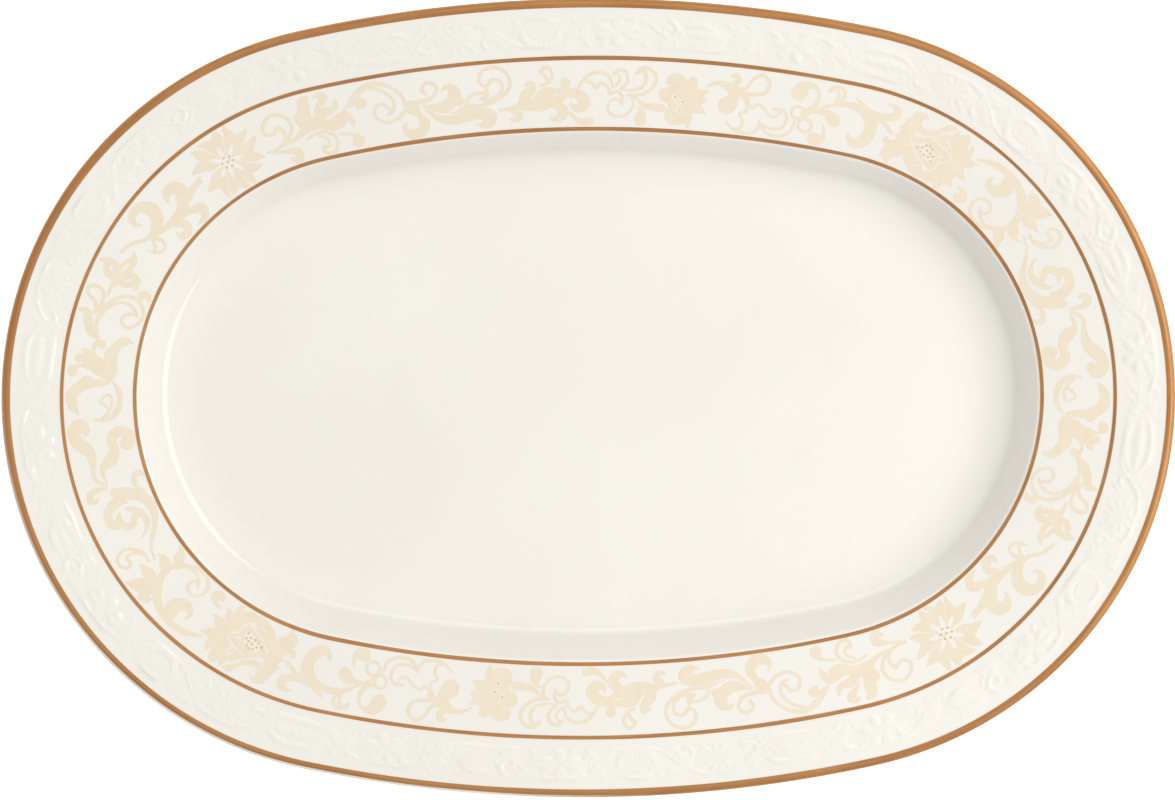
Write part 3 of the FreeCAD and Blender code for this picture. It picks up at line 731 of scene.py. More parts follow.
SMALL_FLOWER = [
    [(349.7, 19.5, 0.2), (349.3, 17.3, 1.1), (350.2, 14.6, 2.0), (351.5, 12, 1.8)],
    [(351.4, 16.7, 0.7), (352.3, 15.4, 1.1), (352.3, 14, 1.2), (352, 12, 1.5)],
    [(343.5, 11.6, 0.2), (345.3, 10.4, 0.9), (347.7, 11, 1.8), (350.5, 11.5, 1.9)],
    [(358, 12.9, 0.35), (355.2, 12.7, 0.6), (353, 11.8, 1.5)],
    [(352, 11, 1.9), (351.3, 8.7, 2.2), (351.4, 7.1, 1.8)],
    [(353.2, 9.8, 1.4), (352.6, 8.2, 1.2)],
    [(351.8, 6.4, 1.1), (353.2, 6.0, 0.6), (354.1, 6.6, 0.15)],
    [(363.5, 14.3, 0.7), (361, 15.8, 0.5), (359.5, 18.5, 0.5), (357.7, 19, 0.5), (356.8, 16.5, 0.5),
     (358, 14.3, 0.5), (361, 13.7, 0.5), (364, 15, 0.6)],
    [(364.3, 19.8, 0.3), (364.3, 17.3, 1), (367, 16, 1.3), (369.8, 14.5, 1), (371.4, 12.3, 0.3)],
    [(371.2, 12, 0.3), (367, 13.7, 0.5), (362, 12.8, 0.5), (358, 9.8, 0.5), (356.2, 6, 0.5),
     (357.5, 2.5, 0.5), (361, 0.9, 0.5), (364.5, 2, 0.5), (366, 4.6, 0.5), (364.5, 6.6, 0.5),
     (362.3, 6, 0.5), (361.3, 4, 0.5)],
    [(366, 13.2, 0.4), (361.5, 11.5, 0.45), (358.8, 8, 0.45), (359.2, 4.8, 0.45), (361, 3, 0.5),
     (362, 2.6, 0.3)],
    [(356.5, 3.5, 0.5), (354.3, 3.3, 1.1), (354.3, 1.5, 0.9), (355.8, 0.9, 0.3)],
]
TULIP = [
    [(377.4, 14.6, 1.6), (378.2, 12.5, 2.1), (379.7, 10, 2.4), (381.3, 8.2, 1.8), (383, 6.8, 0.7)],
    [(377.8, 14, 0.9), (376.8, 16, 0.6), (377.5, 16.9, 0.8), (378.6, 16.7, 0.3)],
    [(376.6, 13.8, 0.8), (375.2, 14.8, 0.7), (375, 15.6, 0.6), (375.1, 14.2, 0.25)],
    [(377.5, 11.6, 1), (375, 12.7, 0.5), (373, 12.4, 0.6), (372.5, 11.2, 1.1), (372.8, 10.6, 1.2)],
    [(380, 13.5, 0.7), (379.5, 15.8, 0.45), (380.1, 17.5, 0.6), (381, 18.1, 1.45), (381.3, 18, 1.45)],
    [(383, 6.2, 0.4), (380.5, 5.8, 0.9), (377.5, 6.8, 1.5), (375.6, 7.4, 2.0), (373, 6.2, 1.4),
     (370.8, 4.6, 1.4), (370.3, 2.9, 0.9), (370.7, 1.6, 0.2)],
    [(384.2, 7, 0.4), (384.4, 10, 1.1), (384.6, 13, 1.3), (386, 16.2, 1.6), (388.3, 18.1, 1.6),
     (391, 17.7, 1.3), (393.5, 16, 0.3)],
    [(384, 15, 0.9), (383.4, 13.8, 1.1), (384, 12.4, 0.9)],
    [(384, 5.8, 0.3), (386.5, 4.2, 0.7), (390, 3.7, 0.8), (394, 5.2, 0.9), (395.7, 8.5, 0.6),
     (395.3, 11.5, 0.2)],
    [0.42, (395, 9), (392.5, 7), (390, 9.3), (388.6, 8.5), (388, 7), (389.5, 6), (392, 6.3),
     (394.5, 8.3)],
]
BARE_LINES = [
    [(88.5, 6.8, 0.8), (90.3, 8.5, 1.9), (92.1, 9.3, 1.7), (93.6, 8.9, 0.9)],
    [(85.4, 14.4, 0.2), (86.2, 12, 0.3), (83.8, 10.8, 0.3), (84.4, 8.8, 0.3), (86.3, 7.3, 0.3),
     (86, 5.8, 0.35), (87.6, 3.9, 0.3), (90, 4.9, 0.3), (93.4, 6.5, 0.3), (95.6, 8.6, 0.25),
     (97, 10.4, 0.15)],
    [(86.2, 12, 0.25), (88.4, 12.5, 0.3), (91, 13, 0.2)],
    [(85.2, 9.9, 0.15), (87.2, 9.2, 0.3), (87.6, 9.9, 0.15)],
    [(87.9, 17.4, 0.2), (89.4, 15.6, 0.35), (91.4, 13.6, 0.25), (94.2, 12.2, 0.4), (96.4, 11.4, 0.15)],
    [(90.2, 4.2, 0.15), (92, 3.4, 0.22), (93.6, 4.2, 0.12)],
    [(202.5, 10.3, 0.2), (204.7, 9.6, 0.3)],
    [0.16, (167.5, 12), (168.4, 10.6), (168.3, 8.5), (167, 7)],
    [(349.8, 15.8, 0.12), (350.7, 15.1, 0.45), (351.7, 14.1, 0.12)],
    [(346.9, 10.9, 0.12), (348.7, 11.4, 0.52), (350.6, 12.2, 0.12)],
    [(351.3, 7.7, 0.12), (352, 9, 0.45), (352.6, 10.2, 0.12)],
    [(231.3, 9.2, 0.12), (232.7, 8.2, 0.2), (234.3, 7.7, 0.28), (235.4, 7.1, 0.12)],
    [0.13, (223.6, 7.5), (227, 7.55), (231, 7.05), (234.3, 6.15), (238, 6.4), (240.5, 7.5),
     (243.2, 9.2)],
    [(269.6, 11.9, 0.12), (271, 11.4, 0.28), (272.8, 11.1, 0.38), (273, 11.1, 0.38)],
    [(271.6, 15.6, 0.1), (273.6, 14.9, 0.13), (275.2, 13.6, 0.15), (276.1, 12.4, 0.2)],
    [(275.5, 16, 0.5), (276, 14, 0.3), (276.4, 12.3, 0.25)],
    [(209.3, 12.2, 0.12), (209.9, 10.8, 0.35), (210.9, 9.3, 0.4), (211.2, 8.6, 0.15)],
    [0.16, (383, 9.2), (382.1, 12.8), (380.8, 15.6)],
    [0.12, (377.8, 8.7), (379.3, 7.4), (381.6, 6.5)],
]
PANSY_EYES = [(166.1, 8.5), (168.5, 9.9), (167, 5.9)]
PEONY_SEEDS = [
    (88.5, 6.6), (89.9, 7.4), (91.4, 7.5), (92.8, 7.9), (88.7, 8.2), (89.8, 8.7), (91.1, 9.0), (92.8, 9.2),
    (89.8, 10.0), (90.8, 10.5), (91.9, 10.2), (94, 8.7),
]
FLOWER = (304.6, 10.1)
PETAL_ANGLES = (37, 85, 134, 186, 234, 280, 324)
ROUND_BUDS = ((131.7, 9.3, 1.9), (129, 5.8, 2.0))


def round_flower(turn, reach):
    turn = math.radians(turn)
    return FLOWER[0] + reach * math.cos(turn), FLOWER[1] + reach * math.sin(turn)


petals, rays = [], []
for turn, following in zip(PETAL_ANGLES, PETAL_ANGLES[1:] + (PETAL_ANGLES[0] + 360,)):
    reach = 9.9 + 1.6 * abs(math.cos(math.radians(turn)))
    for side in (-1, 1):
        petals.append([
            (*round_flower(turn + 8 * side, 2.6), 0.7),
            (*round_flower(turn + 11 * side, 5.4), 1.9),
            (*round_flower(turn + 12 * side, 7.6), 1.6),
            (*round_flower(turn + 18 * side - 3, reach), 0.12),
        ])
    rays.append([
        (*round_flower(turn, 1.2), 0.45),
        (*round_flower(turn + 2, 3.8), 0.7),
        (*round_flower(turn + 3, 5.4), 0.25),
    ])
    gap = (turn + following) / 2
    wide = 0.16 if following - turn < 60 else 0.5
    rays.append([
        (*round_flower(gap - 4, 2.8), 0.12),
        (*round_flower(gap, 5.4), wide),
        (*round_flower(gap + 2, 8.8), 1.6 * wide),
    ])
petals.append([(*FLOWER, 2.6), (FLOWER[0] + 0.1, FLOWER[1], 2.6)])
FLOWER_SEEDS = [FLOWER] + [round_flower(60 * i + 15, 1.75) for i in range(6)]

INKED = (
    S_COMMAS + LOBED_LEAF + BIG_SCROLL + PEONY + BRANCH + WAVY_LEAF + PANSY + TWIN_CURLS + HOOKED_LEAF
    + LONG_LEAVES + LARGE_SCROLL + LILY + petals + SECOND_BRANCH + SMALL_FLOWER + TULIP
)
INKED += [
    [0.45] + [(x + r * math.cos(a), y + r * math.sin(a)) for a in np.linspace(0, 2 * math.pi, 13)]
    for x, y, r in ROUND_BUDS
]
DOTS = PANSY_EYES + PEONY_SEEDS + FLOWER_SEEDS
RINGED = [[(x, y, 0.85), (x + 0.1, y, 0.85)] for x, y in PANSY_EYES + FLOWER_SEEDS]
DOTTED = [[(x, y, 0.42), (x + 0.05, y, 0.42)] for x, y in DOTS]


def swept(stroke, step=0.3):
    """The brush's way through a stroke's points, as (along, across, half width) at even small steps."""
    if isinstance(stroke[0], float):
        stroke = [(*point, stroke[0]) for point in stroke[1:]]
    knots = np.array(stroke, float)
    knots = np.vstack([2 * knots[0] - knots[1], knots, 2 * knots[-1] - knots[-2]])
    path = []
    for a, b, c, d in zip(knots, knots[1:], knots[2:], knots[3:]):
        gaps = [max(1e-3, np.hypot(*(q - p)[:2])) ** 0.5 for p, q in ((a, b), (b, c), (c, d))]
        leave = (b - a) / gaps[0] - (c - a) / (gaps[0] + gaps[1]) + (c - b) / gaps[1]
        reach = (c - b) / gaps[1] - (d - b) / (gaps[1] + gaps[2]) + (d - c) / gaps[2]
        leave, reach = leave * gaps[1], reach * gaps[1]
        pieces = max(1, math.ceil(gaps[1] ** 2 / step))
        for t in np.arange(pieces) / pieces:
            path.append(
                (2 * t**3 - 3 * t**2 + 1) * b + (t**3 - 2 * t**2 + t) * leave
                + (3 * t**2 - 2 * t**3) * c + (t**3 - t**2) * reach
            )
    path.append(knots[-2])
    return np.array(path)


def near_strokes(along, across, strokes, length, thinnest):
    """Every short run of the strokes, which repeat after the length: its part of the grid, then the distances
    from its middle line and the half widths there."""
    cell_along, cell_across = along[1] - along[0], across[1] - across[0]
    for path in map(swept, strokes):
        for shift in (-length, 0, length):
            for (x0, y0, w0), (x1, y1, w1) in zip(path, path[1:]):
                w0, w1 = max(w0, thinnest), max(w1, thinnest)
                reach = max(w0, w1) + MARGIN
                i = max(0, int((min(x0, x1) + shift - reach - along[0]) / cell_along))
                j = max(0, int((min(y0, y1) - reach - across[0]) / cell_across))
                far_i = int((max(x0, x1) + shift + reach - along[0]) / cell_along) + 2
                far_j = int((max(y0, y1) + reach - across[0]) / cell_across) + 2
                if far_i <= 0 or i >= len(along) or far_j <= 0 or j >= len(across):
                    continue
                x = along[i:far_i, None] - x0 - shift
                y = across[None, j:far_j] - y0
                run, rise = x1 - x0, y1 - y0
                t = np.clip((x * run + y * rise) / max(run * run + rise * rise, 1e-9), 0, 1)
                near = (slice(i, far_i), slice(j, far_j))
                yield near, np.hypot(x - t * run, y - t * rise), w0 + t * (w1 - w0)


def stroked(along, across, strokes, length):
    """The distance of every grid point from the nearest stroke's edge, negative inside the strokes."""
    field = np.full((len(along), len(across)), FAR)
    for near, away, width in near_strokes(along, across, strokes, length, 0.0):
        field[near] = np.minimum(field[near], away - width)
    return field


def edge_lines(field):
    """The closed lines where the field passes zero, as lists of (row, column) in cells."""
    inside = field < 0
    count = inside[:-1, :-1].astype(int) + inside[1:, :-1] + inside[:-1, 1:] + inside[1:, 1:]
    links = {}
    for i, j in zip(*np.nonzero((count > 0) & (count < 4))):
        i, j = int(i), int(j)
        corners = [(i, j), (i + 1, j), (i + 1, j + 1), (i, j + 1)]
        sides = [(i, j, 0), (i + 1, j, 1), (i, j + 1, 0), (i, j, 1)]
        crossed = [s for s, p, q in zip(sides, corners, corners[1:] + corners[:1]) if inside[p] != inside[q]]
        if len(crossed) == 4 and inside[i, j] == (field[i : i + 2, j : j + 2].mean() < 0):
            crossed = crossed[1:] + crossed[:1]
        for one, other in zip(crossed[::2], crossed[1::2]):
            links.setdefault(one, []).append(other)
            links.setdefault(other, []).append(one)
    lines = []
    while links:
        start = here = next(iter(links))
        line = []
        while here in links:
            following = links.pop(here)
            i, j, upright = here
            ahead = (i, j + 1) if upright else (i + 1, j)
            share = field[i, j] / (field[i, j] - field[ahead])
            line.append((i, j + share) if upright else (i + share, j))
            here = following[0] if following[0] in links else following[-1]
        lines.append(line)
    return lines


def thinned(line, turn=math.radians(7), shortest=0.9, longest=4.0):
    """The line, in cells, without the points where it hardly bends."""
    kept = [line[0]]
    for before, point, after in zip(line, line[1:], line[2:]):
        back = math.atan2(point[1] - kept[-1][1], point[0] - kept[-1][0])
        ahead = math.atan2(after[1] - point[1], after[0] - point[0])
        bend = abs((ahead - back + math.pi) % (2 * math.pi) - math.pi)
        gap = math.dist(kept[-1], point)
        if gap > longest or (bend > turn and gap > shortest):
            kept.append(point)
    return kept


def place_round(way, inset, middle):
    """The point on the rim at an inset, a number of metres round the oval of the middle inset."""
    half = length_round(middle)
    side = -1 if way % (2 * half) >= half else 1
    way %= half
    end_length = (END_RADIUS - middle) * JOIN_ANGLE
    if way < end_length:
        turn, centre, radius = way / (END_RADIUS - middle), (END_CENTRE, 0), END_RADIUS
    elif way > half - end_length:
        turn, centre, radius = math.pi - (half - way) / (END_RADIUS - middle), (-END_CENTRE, 0), END_RADIUS
    else:
        turn = JOIN_ANGLE + (way - end_length) / (SIDE_RADIUS - middle)
        centre, radius = (0, -SIDE_CENTRE), SIDE_RADIUS
    x = centre[0] + (radius - inset) * math.cos(turn)
    y = centre[1] + (radius - inset) * math.sin(turn)
    return side * x, side * y, rim_top(inset)


pattern_start = LONG_SHEET_ENDS[0]
along = np.arange(pattern_start - 0.5, pattern_start + PATTERN_LENGTH + 0.7, CELL)
across = np.arange(-0.4, 20.8, CELL)
ink = stroked(along, across, INKED, PATTERN_LENGTH)
bare = stroked(along, across, BARE_LINES + rays + RINGED, PATTERN_LENGTH)
for join in (*LONG_SHEET_ENDS, pattern_start + PATTERN_LENGTH):
    bare = np.minimum(bare, np.abs(along - join)[:, None] - JOIN_GAP)
ink = np.maximum(ink, -bare)
dots = stroked(along, across, DOTTED, PATTERN_LENGTH)
ink = np.minimum(ink, dots)
ink = np.maximum(ink, np.maximum(SHEET_EDGES[0] - across, across - SHEET_EDGES[1])[None, :])
ink[(along < pattern_start) | (along > pattern_start + PATTERN_LENGTH), :] = FAR
ink[:, [0, -1]] = FAR

corners, sides = [], []
for line in map(thinned, edge_lines(ink)):
    if len(line) > 3:
        first = len(corners)
        corners += line
        sides += [(first + i, first + (i + 1) % len(line)) for i in range(len(line))]
inner = ((i, j) for i in range(8, len(along), INNER_STEP) for j in range(5, len(across), INNER_STEP))
corners += [place for place in inner if ink[place] < -0.5]
points, _, triangles, *_ = geometry.delaunay_2d_cdt([Vector(c) for c in corners], sides, [], 0, 1e-5)


def between_cells(field, row, column):
    """The field's value between the grid's points."""
    i, j = min(int(row), field.shape[0] - 2), min(int(column), field.shape[1] - 2)
    u, v = row - i, column - j
    low = field[i, j] * (1 - u) + field[i + 1, j] * u
    high = field[i, j + 1] * (1 - u) + field[i + 1, j + 1] * u
    return low * (1 - v) + high * v


sheets = {"long": [], "short": []}
for triangle in triangles:
    row = sum(points[k].x for k in triangle) / 3
    column = sum(points[k].y for k in triangle) / 3
    if between_cells(ink, row, column) < 0:
        sheet = "long" if along[0] + row * CELL < LONG_SHEET_ENDS[1] else "short"
        sheets[sheet].append((triangle, int(between_cells(dots, row, column) < 0)))


def ink_material(name, pale, deep):
    """Enamel ink fired onto the glaze: even, a little cloudy, with the fine grain of a printing screen."""
    material, tree, shader, place = new_material(name)
    cloud = between(tree, noise(tree, place, 240, 5), 0.32, 0.68)
    tree.links.new(node_colour(tree, pale, deep, cloud), shader.inputs["Base Color"])
    sheen = between(tree, noise(tree, place, 900, 3), 0.3, 0.7, 0.13, 0.24)
    tree.links.new(sheen, shader.inputs["Roughness"])
    grain = bump(tree, noise(tree, place, 2600, 2), 0.01 * MM, 0.35)
    tree.links.new(grain, shader.inputs["Normal"])
    return material


apricot = ink_material("apricot_ink", (0.845, 0.752, 0.60), (0.832, 0.722, 0.555))
amber = ink_material("amber_ink", (0.80, 0.60, 0.36), (0.74, 0.52, 0.28))


def printed(name, sheet, halfway):
    """One sheet of transfer laid on the rim."""
    used = sorted({k for triangle, _ in sheets[sheet] for k in triangle})
    number = {k: i for i, k in enumerate(used)}
    scale = length_round(PRINT_MIDDLE) / PATTERN_LENGTH
    places = []
    for k in used:
        way = (along[0] + points[k].x * CELL + halfway * PATTERN_LENGTH) * scale
        inset = PRINT_FOOT - (across[0] + points[k].y * CELL) * MM
        places.append(place_round(way, inset, PRINT_MIDDLE))
    mesh = bpy.data.meshes.new(name)
    mesh.from_pydata(places, [], [[number[k] for k in triangle] for triangle, _ in sheets[sheet]])
    mesh.polygons.foreach_set("material_index", [dark for _, dark in sheets[sheet]])
    piece = bpy.data.objects.new(name, mesh)
    bpy.context.scene.collection.objects.link(piece)
    bpy.ops.object.select_all(action="DESELECT")
    bpy.context.view_layer.objects.active = piece
    piece.select_set(True)
    mesh.materials.append(apricot)
    mesh.materials.append(amber)
    for face in mesh.polygons:
        if face.normal.z < 0:
            face.flip()
    thickened(piece, INK, 1)
    return piece


for name, sheet, halfway, node in (
    ("print_round_the_right_end", "long", 0, "transfer_right_end"),
    ("print_along_the_back", "short", 0, "transfer_back_side"),
    ("print_round_the_left_end", "long", 1, "transfer_left_end"),
    ("print_along_the_front", "short", 1, "transfer_front_side"),
):
    piece = printed(name, sheet, halfway)
    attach(piece, "root")
    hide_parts(node)

# ---------------------------------------------------------------- The moulded relief
# A garland pressed into the rim with the body, in the same mould, and softened by the glaze over it: flowers,
# berries, a tulip and a gourd leaf between curling acanthus, with a vine that weaves past them. The same run
# goes six times round.

REPEATS = 6
RELIEF_MIDDLE = 9.9 * MM  # inset of the oval that the garland runs along
RELIEF_FOOT = 14.7 * MM  # inset of the garland's lower edge
GARLAND = length_round(RELIEF_MIDDLE) * 2 / REPEATS / MM  # one run, in millimetres
GARLAND_HIGH = 9.6
FINE = 0.35  # of the modelling grid
LEAF_PAIRS = 26
GROOVE_DEPTH = 0.30
BEAD_HEIGHT = 0.62
TALLEST = 0.88
UNEVENNESS = 0.12  # share of a form's height by which the mould varies


def polar(centre, turn, reach, squash=1.0):
    turn = math.radians(turn)
    return centre[0] + reach * math.cos(turn), centre[1] + squash * reach * math.sin(turn)


def beads(places, radius):
    return [[(x, y, radius), (x + 0.02, y, radius)] for x, y in places]


def petals_round(centre, count, inner, outer, width, turn=0.0, squash=1.0):
    """Separate petals round a flower's middle, widest beyond halfway."""
    ring = []
    for i in range(count):
        a = turn + 360 * i / count
        ring.append([
            (*polar(centre, a, inner, squash), 0.5 * width),
            (*polar(centre, a, inner + 0.6 * (outer - inner), squash), width),
            (*polar(centre, a, outer, squash), 0.35 * width),
        ])
    return ring


def acanthus(root, tip, width, bow=0.8, lobes=4):
    """A leaf with a curved spine and lobes that lean towards its tip, and the groove of its midrib."""
    root, tip = np.array(root, float), np.array(tip, float)
    way = tip - root
    aside = np.array((-way[1], way[0])) / np.hypot(*way)
    spine = []
    for t in (0, 0.3, 0.6, 0.85):
        curve = math.sin(math.pi * t)
        spine.append((*(root + way * t + aside * bow * curve), width * (0.45 + 0.55 * curve)))
    spine.append((*tip, 0.15))
    parts = [spine]
    for i in range(lobes):
        t = 0.12 + 0.7 * i / lobes
        start = root + way * t + aside * bow * math.sin(math.pi * t)
        for side in (-1, 1):
            end = start + way / np.hypot(*way) * (1.5 + 0.15 * i) + aside * side * (width + 1.0 - 0.12 * i)
            middle = (start + end) / 2 + aside * side * 0.25
            parts.append([(*start, 0.6 * width), (*middle, 0.62), (*end, 0.2)])
    return parts, [[(x, y, 0.22) for x, y, _ in spine[:-1]]]


def crescent(centre, radius, start, finish, width):
    """A raised line along an arc, thickest in its middle."""
    turns = np.linspace(start, finish, 7)
    swell = (0.3, 0.7, 0.95, 1, 0.95, 0.7, 0.3)
    return [(*polar(centre, a, radius, 0.86), width * s) for a, s in zip(turns, swell)]


leaf_parts, leaf_grooves = [], []
for root, tip, width, bow in (
    ((23.0, 8.3), (33.0, 1.2), 0.95, 0.8),
    ((24.5, 1.6), (30.5, 8.6), 0.7, -0.6),
    ((46.5, 1.2), (53.5, 0.9), 0.75, 0.7),
    ((74.0, 8.6), (81.5, 1.1), 0.9, 0.9),
    ((72.5, 1.4), (79.0, 8.8), 0.7, -0.7),
    ((98.0, 0.9), (105.5, 8.4), 0.95, -0.9),
    ((97.0, 8.7), (104.5, 8.9), 0.7, -0.8),
    ((121.5, 8.6), (127.5, 1.2), 0.7, 0.7),
    ((143.5, 1.3), (151.5, 8.3), 0.9, -0.9),
    ((144.5, 8.5), (153.5, 1.0), 0.9, 0.9),
    ((52.0, 8.8), (59.0, 8.9), 0.6, -0.6),
):
    parts, midrib = acanthus(root, tip, width, bow)
    leaf_parts += parts
    leaf_grooves += midrib

LOBED = (13.0, 4.7)
FOUR_PETAL = (65.5, 4.8)
BERRIES = (88.5, 5.6)
DAISY = (113.0, 4.7)

low_forms = [
    [(7.5, 4.8, 2.6), (12, 4.9, 3.7), (18, 4.8, 2.8)],
    [(34.5, 4.8, 2.2), (39, 4.8, 3.4), (44, 4.6, 2.6)],
    [(58.5, 4.8, 2.4), (65.5, 4.8, 3.9), (72, 4.8, 2.4)],
    [(82.0, 5.8, 2.1), (88.5, 5.6, 3.4), (95, 5.8, 2.1)],
    [(108.5, 4.7, 2.8), (113, 4.7, 4.0), (117.5, 4.7, 2.8)],
    [(126.5, 4.8, 1.6), (131, 4.8, 3.6), (138, 4.8, 3.7), (143, 4.9, 1.6)],
]
middle_forms = petals_round(LOBED, 6, 1.6, 6.0, 1.75, 12, 0.72)
middle_forms += [
    [(8.4, 6.9, 0.9), (6.6, 7.9, 0.6), (5.6, 7.0, 0.3)],
    [(18.0, 7.4, 1.0), (20.2, 7.9, 0.7), (21.4, 6.8, 0.3)],
    [(34.6, 4.8, 0.5), (38.0, 7.0, 1.3), (42.5, 8.0, 1.2), (45.6, 7.5, 0.3)],
    [(34.6, 4.6, 0.5), (38.0, 2.8, 1.3), (42.5, 1.8, 1.2), (45.6, 2.2, 0.3)],
    [(35.0, 4.8, 0.6), (39.5, 5.0, 1.7), (44.5, 4.9, 0.5)],
]
for turn, reach in ((0, 6.8), (90, 3.9), (180, 6.8), (270, 3.9)):
    for side in (-1, 1):
        middle_forms.append([
            (*polar(FOUR_PETAL, turn + 9 * side, 1.2), 0.9),
            (*polar(FOUR_PETAL, turn + 14 * side, 0.72 * reach), 1.178),
            (*polar(FOUR_PETAL, turn + 4 * side, reach), 0.3),
        ])
middle_forms += [crescent(BERRIES, 4.6, 20, 160, 1.15), crescent((88.5, 6.4), 6.6, 192, 348, 1.1)]
middle_forms += petals_round(DAISY, 10, 1.7, 4.9, 0.85, 9, 0.9)
middle_forms += [
    [(125.5, 5.0, 0.4), (130, 7.8, 0.9), (136, 8.4, 1.0), (142, 7.4, 0.7), (145.3, 5.2, 0.2)],
    [(125.5, 4.6, 0.4), (130, 1.9, 0.9), (136, 1.2, 1.0), (142, 2.3, 0.7), (145.3, 4.8, 0.2)],
    [(127.5, 4.8, 0.7), (134.5, 4.9, 1.9), (143, 4.9, 0.5)],
]
VINE = [
    (148 - GARLAND, 4.8), (4, 8.2), (13, 9.2), (22, 8.1), (26.5, 4.8), (31, 1.5), (40, 0.6), (48, 1.6),
    (52.5, 4.8), (57, 8.2), (65.5, 9.1), (74, 8), (77, 4.8), (81, 1.5), (88.5, 0.6), (96, 1.5), (100.5, 4.8),
    (105, 8.2), (113, 9.1), (120, 8), (124, 4.8), (127, 1.5), (135, 0.6), (143, 1.5), (148, 4.8),
]
frames = [
    [0.5] + VINE,
    [(50.4, 8.9, 0.3), (48.4, 8.0, 0.7), (47.8, 5.6, 0.75), (49.6, 3.9, 0.65), (51.6, 4.6, 0.6),
     (51.6, 6.2, 0.5), (50.3, 6.4, 0.4)],
    [(103.6, 1.0, 0.3), (105.2, 1.6, 0.6), (105.6, 3.2, 0.6), (104.4, 4.2, 0.5)],
    [(121.0, 3.4, 0.3), (122.6, 1.8, 0.6), (124.6, 2.0, 0.5), (124.8, 3.4, 0.4)],
]
border_leaves = []
for i in range(LEAF_PAIRS):
    u = 2.9 + i * GARLAND / LEAF_PAIRS
    v = u + 2.6
    lean = 1.5 if i % 3 else -1.3
    border_leaves.append([(u, 7.9, 0.8), (u + 0.5 * lean, 8.8, 0.6), (u + lean, 9.4, 0.2)])
    border_leaves.append([(v, 1.7, 0.8), (v + 0.5 * lean, 0.8, 0.6), (v + 1.1 * lean, 0.2, 0.2)])
bead_strokes = beads([LOBED] + [polar(LOBED, 60 * i, 1.35) for i in range(6)], 0.62)
bead_strokes += beads([(9.6, 8.2), (11.2, 8.7), (12.9, 8.8), (14.6, 8.6), (16.2, 8.1)], 0.55)
bead_strokes += beads([(46.2, 4.9), (46.8, 6.1), (46.7, 3.7), (47.9, 2.8)], 0.6)
bead_strokes += beads([FOUR_PETAL] + [polar(FOUR_PETAL, 72 * i + 20, 1.15) for i in range(5)], 0.5)
bead_strokes += beads([polar((88.5, 6.2), a, 5.6, 0.78) for a in np.linspace(196, 344, 11)], 0.62)
bead_strokes += beads([polar((88.5, 6.2), a, 4.1, 0.7) for a in np.linspace(228, 312, 5)], 0.52)
bead_strokes += beads([DAISY] + [polar(DAISY, 60 * i + 30, 1.2) for i in range(6)], 0.5)
grooves = leaf_grooves + [
    [(36.2, 6.3, 0.14), (39.5, 7.4, 0.2), (43.6, 7.7, 0.12)],
    [(36.2, 3.4, 0.14), (39.5, 2.3, 0.2), (43.6, 2.0, 0.12)],
]
for i in range(6):
    u = 127.4 + 2.4 * i
    grooves.append([(u, 2.4, 0.16), (u + 1.4, 4.6, 0.22), (u + 3.4, 7.4, 0.16)])
    turn = 12 + 60 * i
    grooves.append([(*polar(LOBED, turn, 2.4, 0.72), 0.16), (*polar(LOBED, turn, 4.9, 0.72), 0.14)])


def raised(field, strokes, height):
    """Adds domed strokes: each reaches the height in its middle, or less where it is narrow."""
    for near, away, width in near_strokes(run_along, run_across, strokes, GARLAND, 0.12):
        share = np.clip(1 - (away / width) ** 2, 0, 1)
        lift = height * np.minimum(1, 0.35 + 0.5 * width) * share**0.8
        field[near] = np.maximum(field[near], lift)


def softened(field, passes):
    """The field run together a little, as glaze fills the corners. It goes on round the garland's ends."""
    for _ in range(passes):
        field = (np.roll(field, 1, 0) + 2 * field + np.roll(field, -1, 0)) / 4
        edged = np.pad(field, ((0, 0), (1, 1)), mode="edge")
        field = (edged[:, :-2] + 2 * field + edged[:, 2:]) / 4
    return field


columns = round(GARLAND / FINE)
rows = round(GARLAND_HIGH / FINE)
run_along = np.arange(columns) * GARLAND / columns
run_across = np.arange(1, rows) * GARLAND_HIGH / rows
form = np.zeros((columns, rows - 1))
for strokes, height in (
    (low_forms, 0.13),
    (border_leaves, 0.22),
    (leaf_parts, 0.30),
    (middle_forms, 0.34),
    (frames, 0.42),
):
    raised(form, strokes, height)
cut = np.zeros(form.shape)
raised(cut, grooves, GROOVE_DEPTH)
form = np.maximum(form - cut, 0)
raised(form, bead_strokes, BEAD_HEIGHT)
form = np.minimum(softened(form, 1), TALLEST)
hand = np.random.default_rng(11)
uneven = softened(hand.normal(0, 1, form.shape), 40)
form *= 1 + UNEVENNESS * np.clip(uneven / uneven.std(), -1.5, 1.5) * (form > 0)
form = np.minimum(form, TALLEST)

insets = [RELIEF_END, RELIEF_FOOT + 0.9 * MM, RELIEF_FOOT]
insets += [RELIEF_FOOT - v * MM for v in run_across]
insets += [RELIEF_FOOT - GARLAND_HIGH * MM, RELIEF_START + 0.9 * MM, RELIEF_START]
lifts = np.zeros((columns, len(insets)))
lifts[:, 3:-3] = form * MM
ring = len(insets)
relief_points, relief_faces = [], []
round_count = columns * REPEATS
for c in range(round_count):
    way = 2 * length_round(RELIEF_MIDDLE) * c / round_count
    for k, inset in enumerate(insets):
        x, y, z = place_round(way, inset, RELIEF_MIDDLE)
        relief_points.append((x, y, z + lifts[c % columns, k]))
    for inset in (insets[-1], insets[0]):
        x, y, z = place_round(way, inset, RELIEF_MIDDLE)
        relief_points.append((x, y, z - GLAZE))
step = ring + 2
for c in range(round_count):
    here, there = c * step, (c + 1) % round_count * step
    for k in range(step):
        after = (k + 1) % step
        relief_faces.append((here + k, there + k, there + after, here + after))
mesh = bpy.data.meshes.new("relief_round_the_rim")
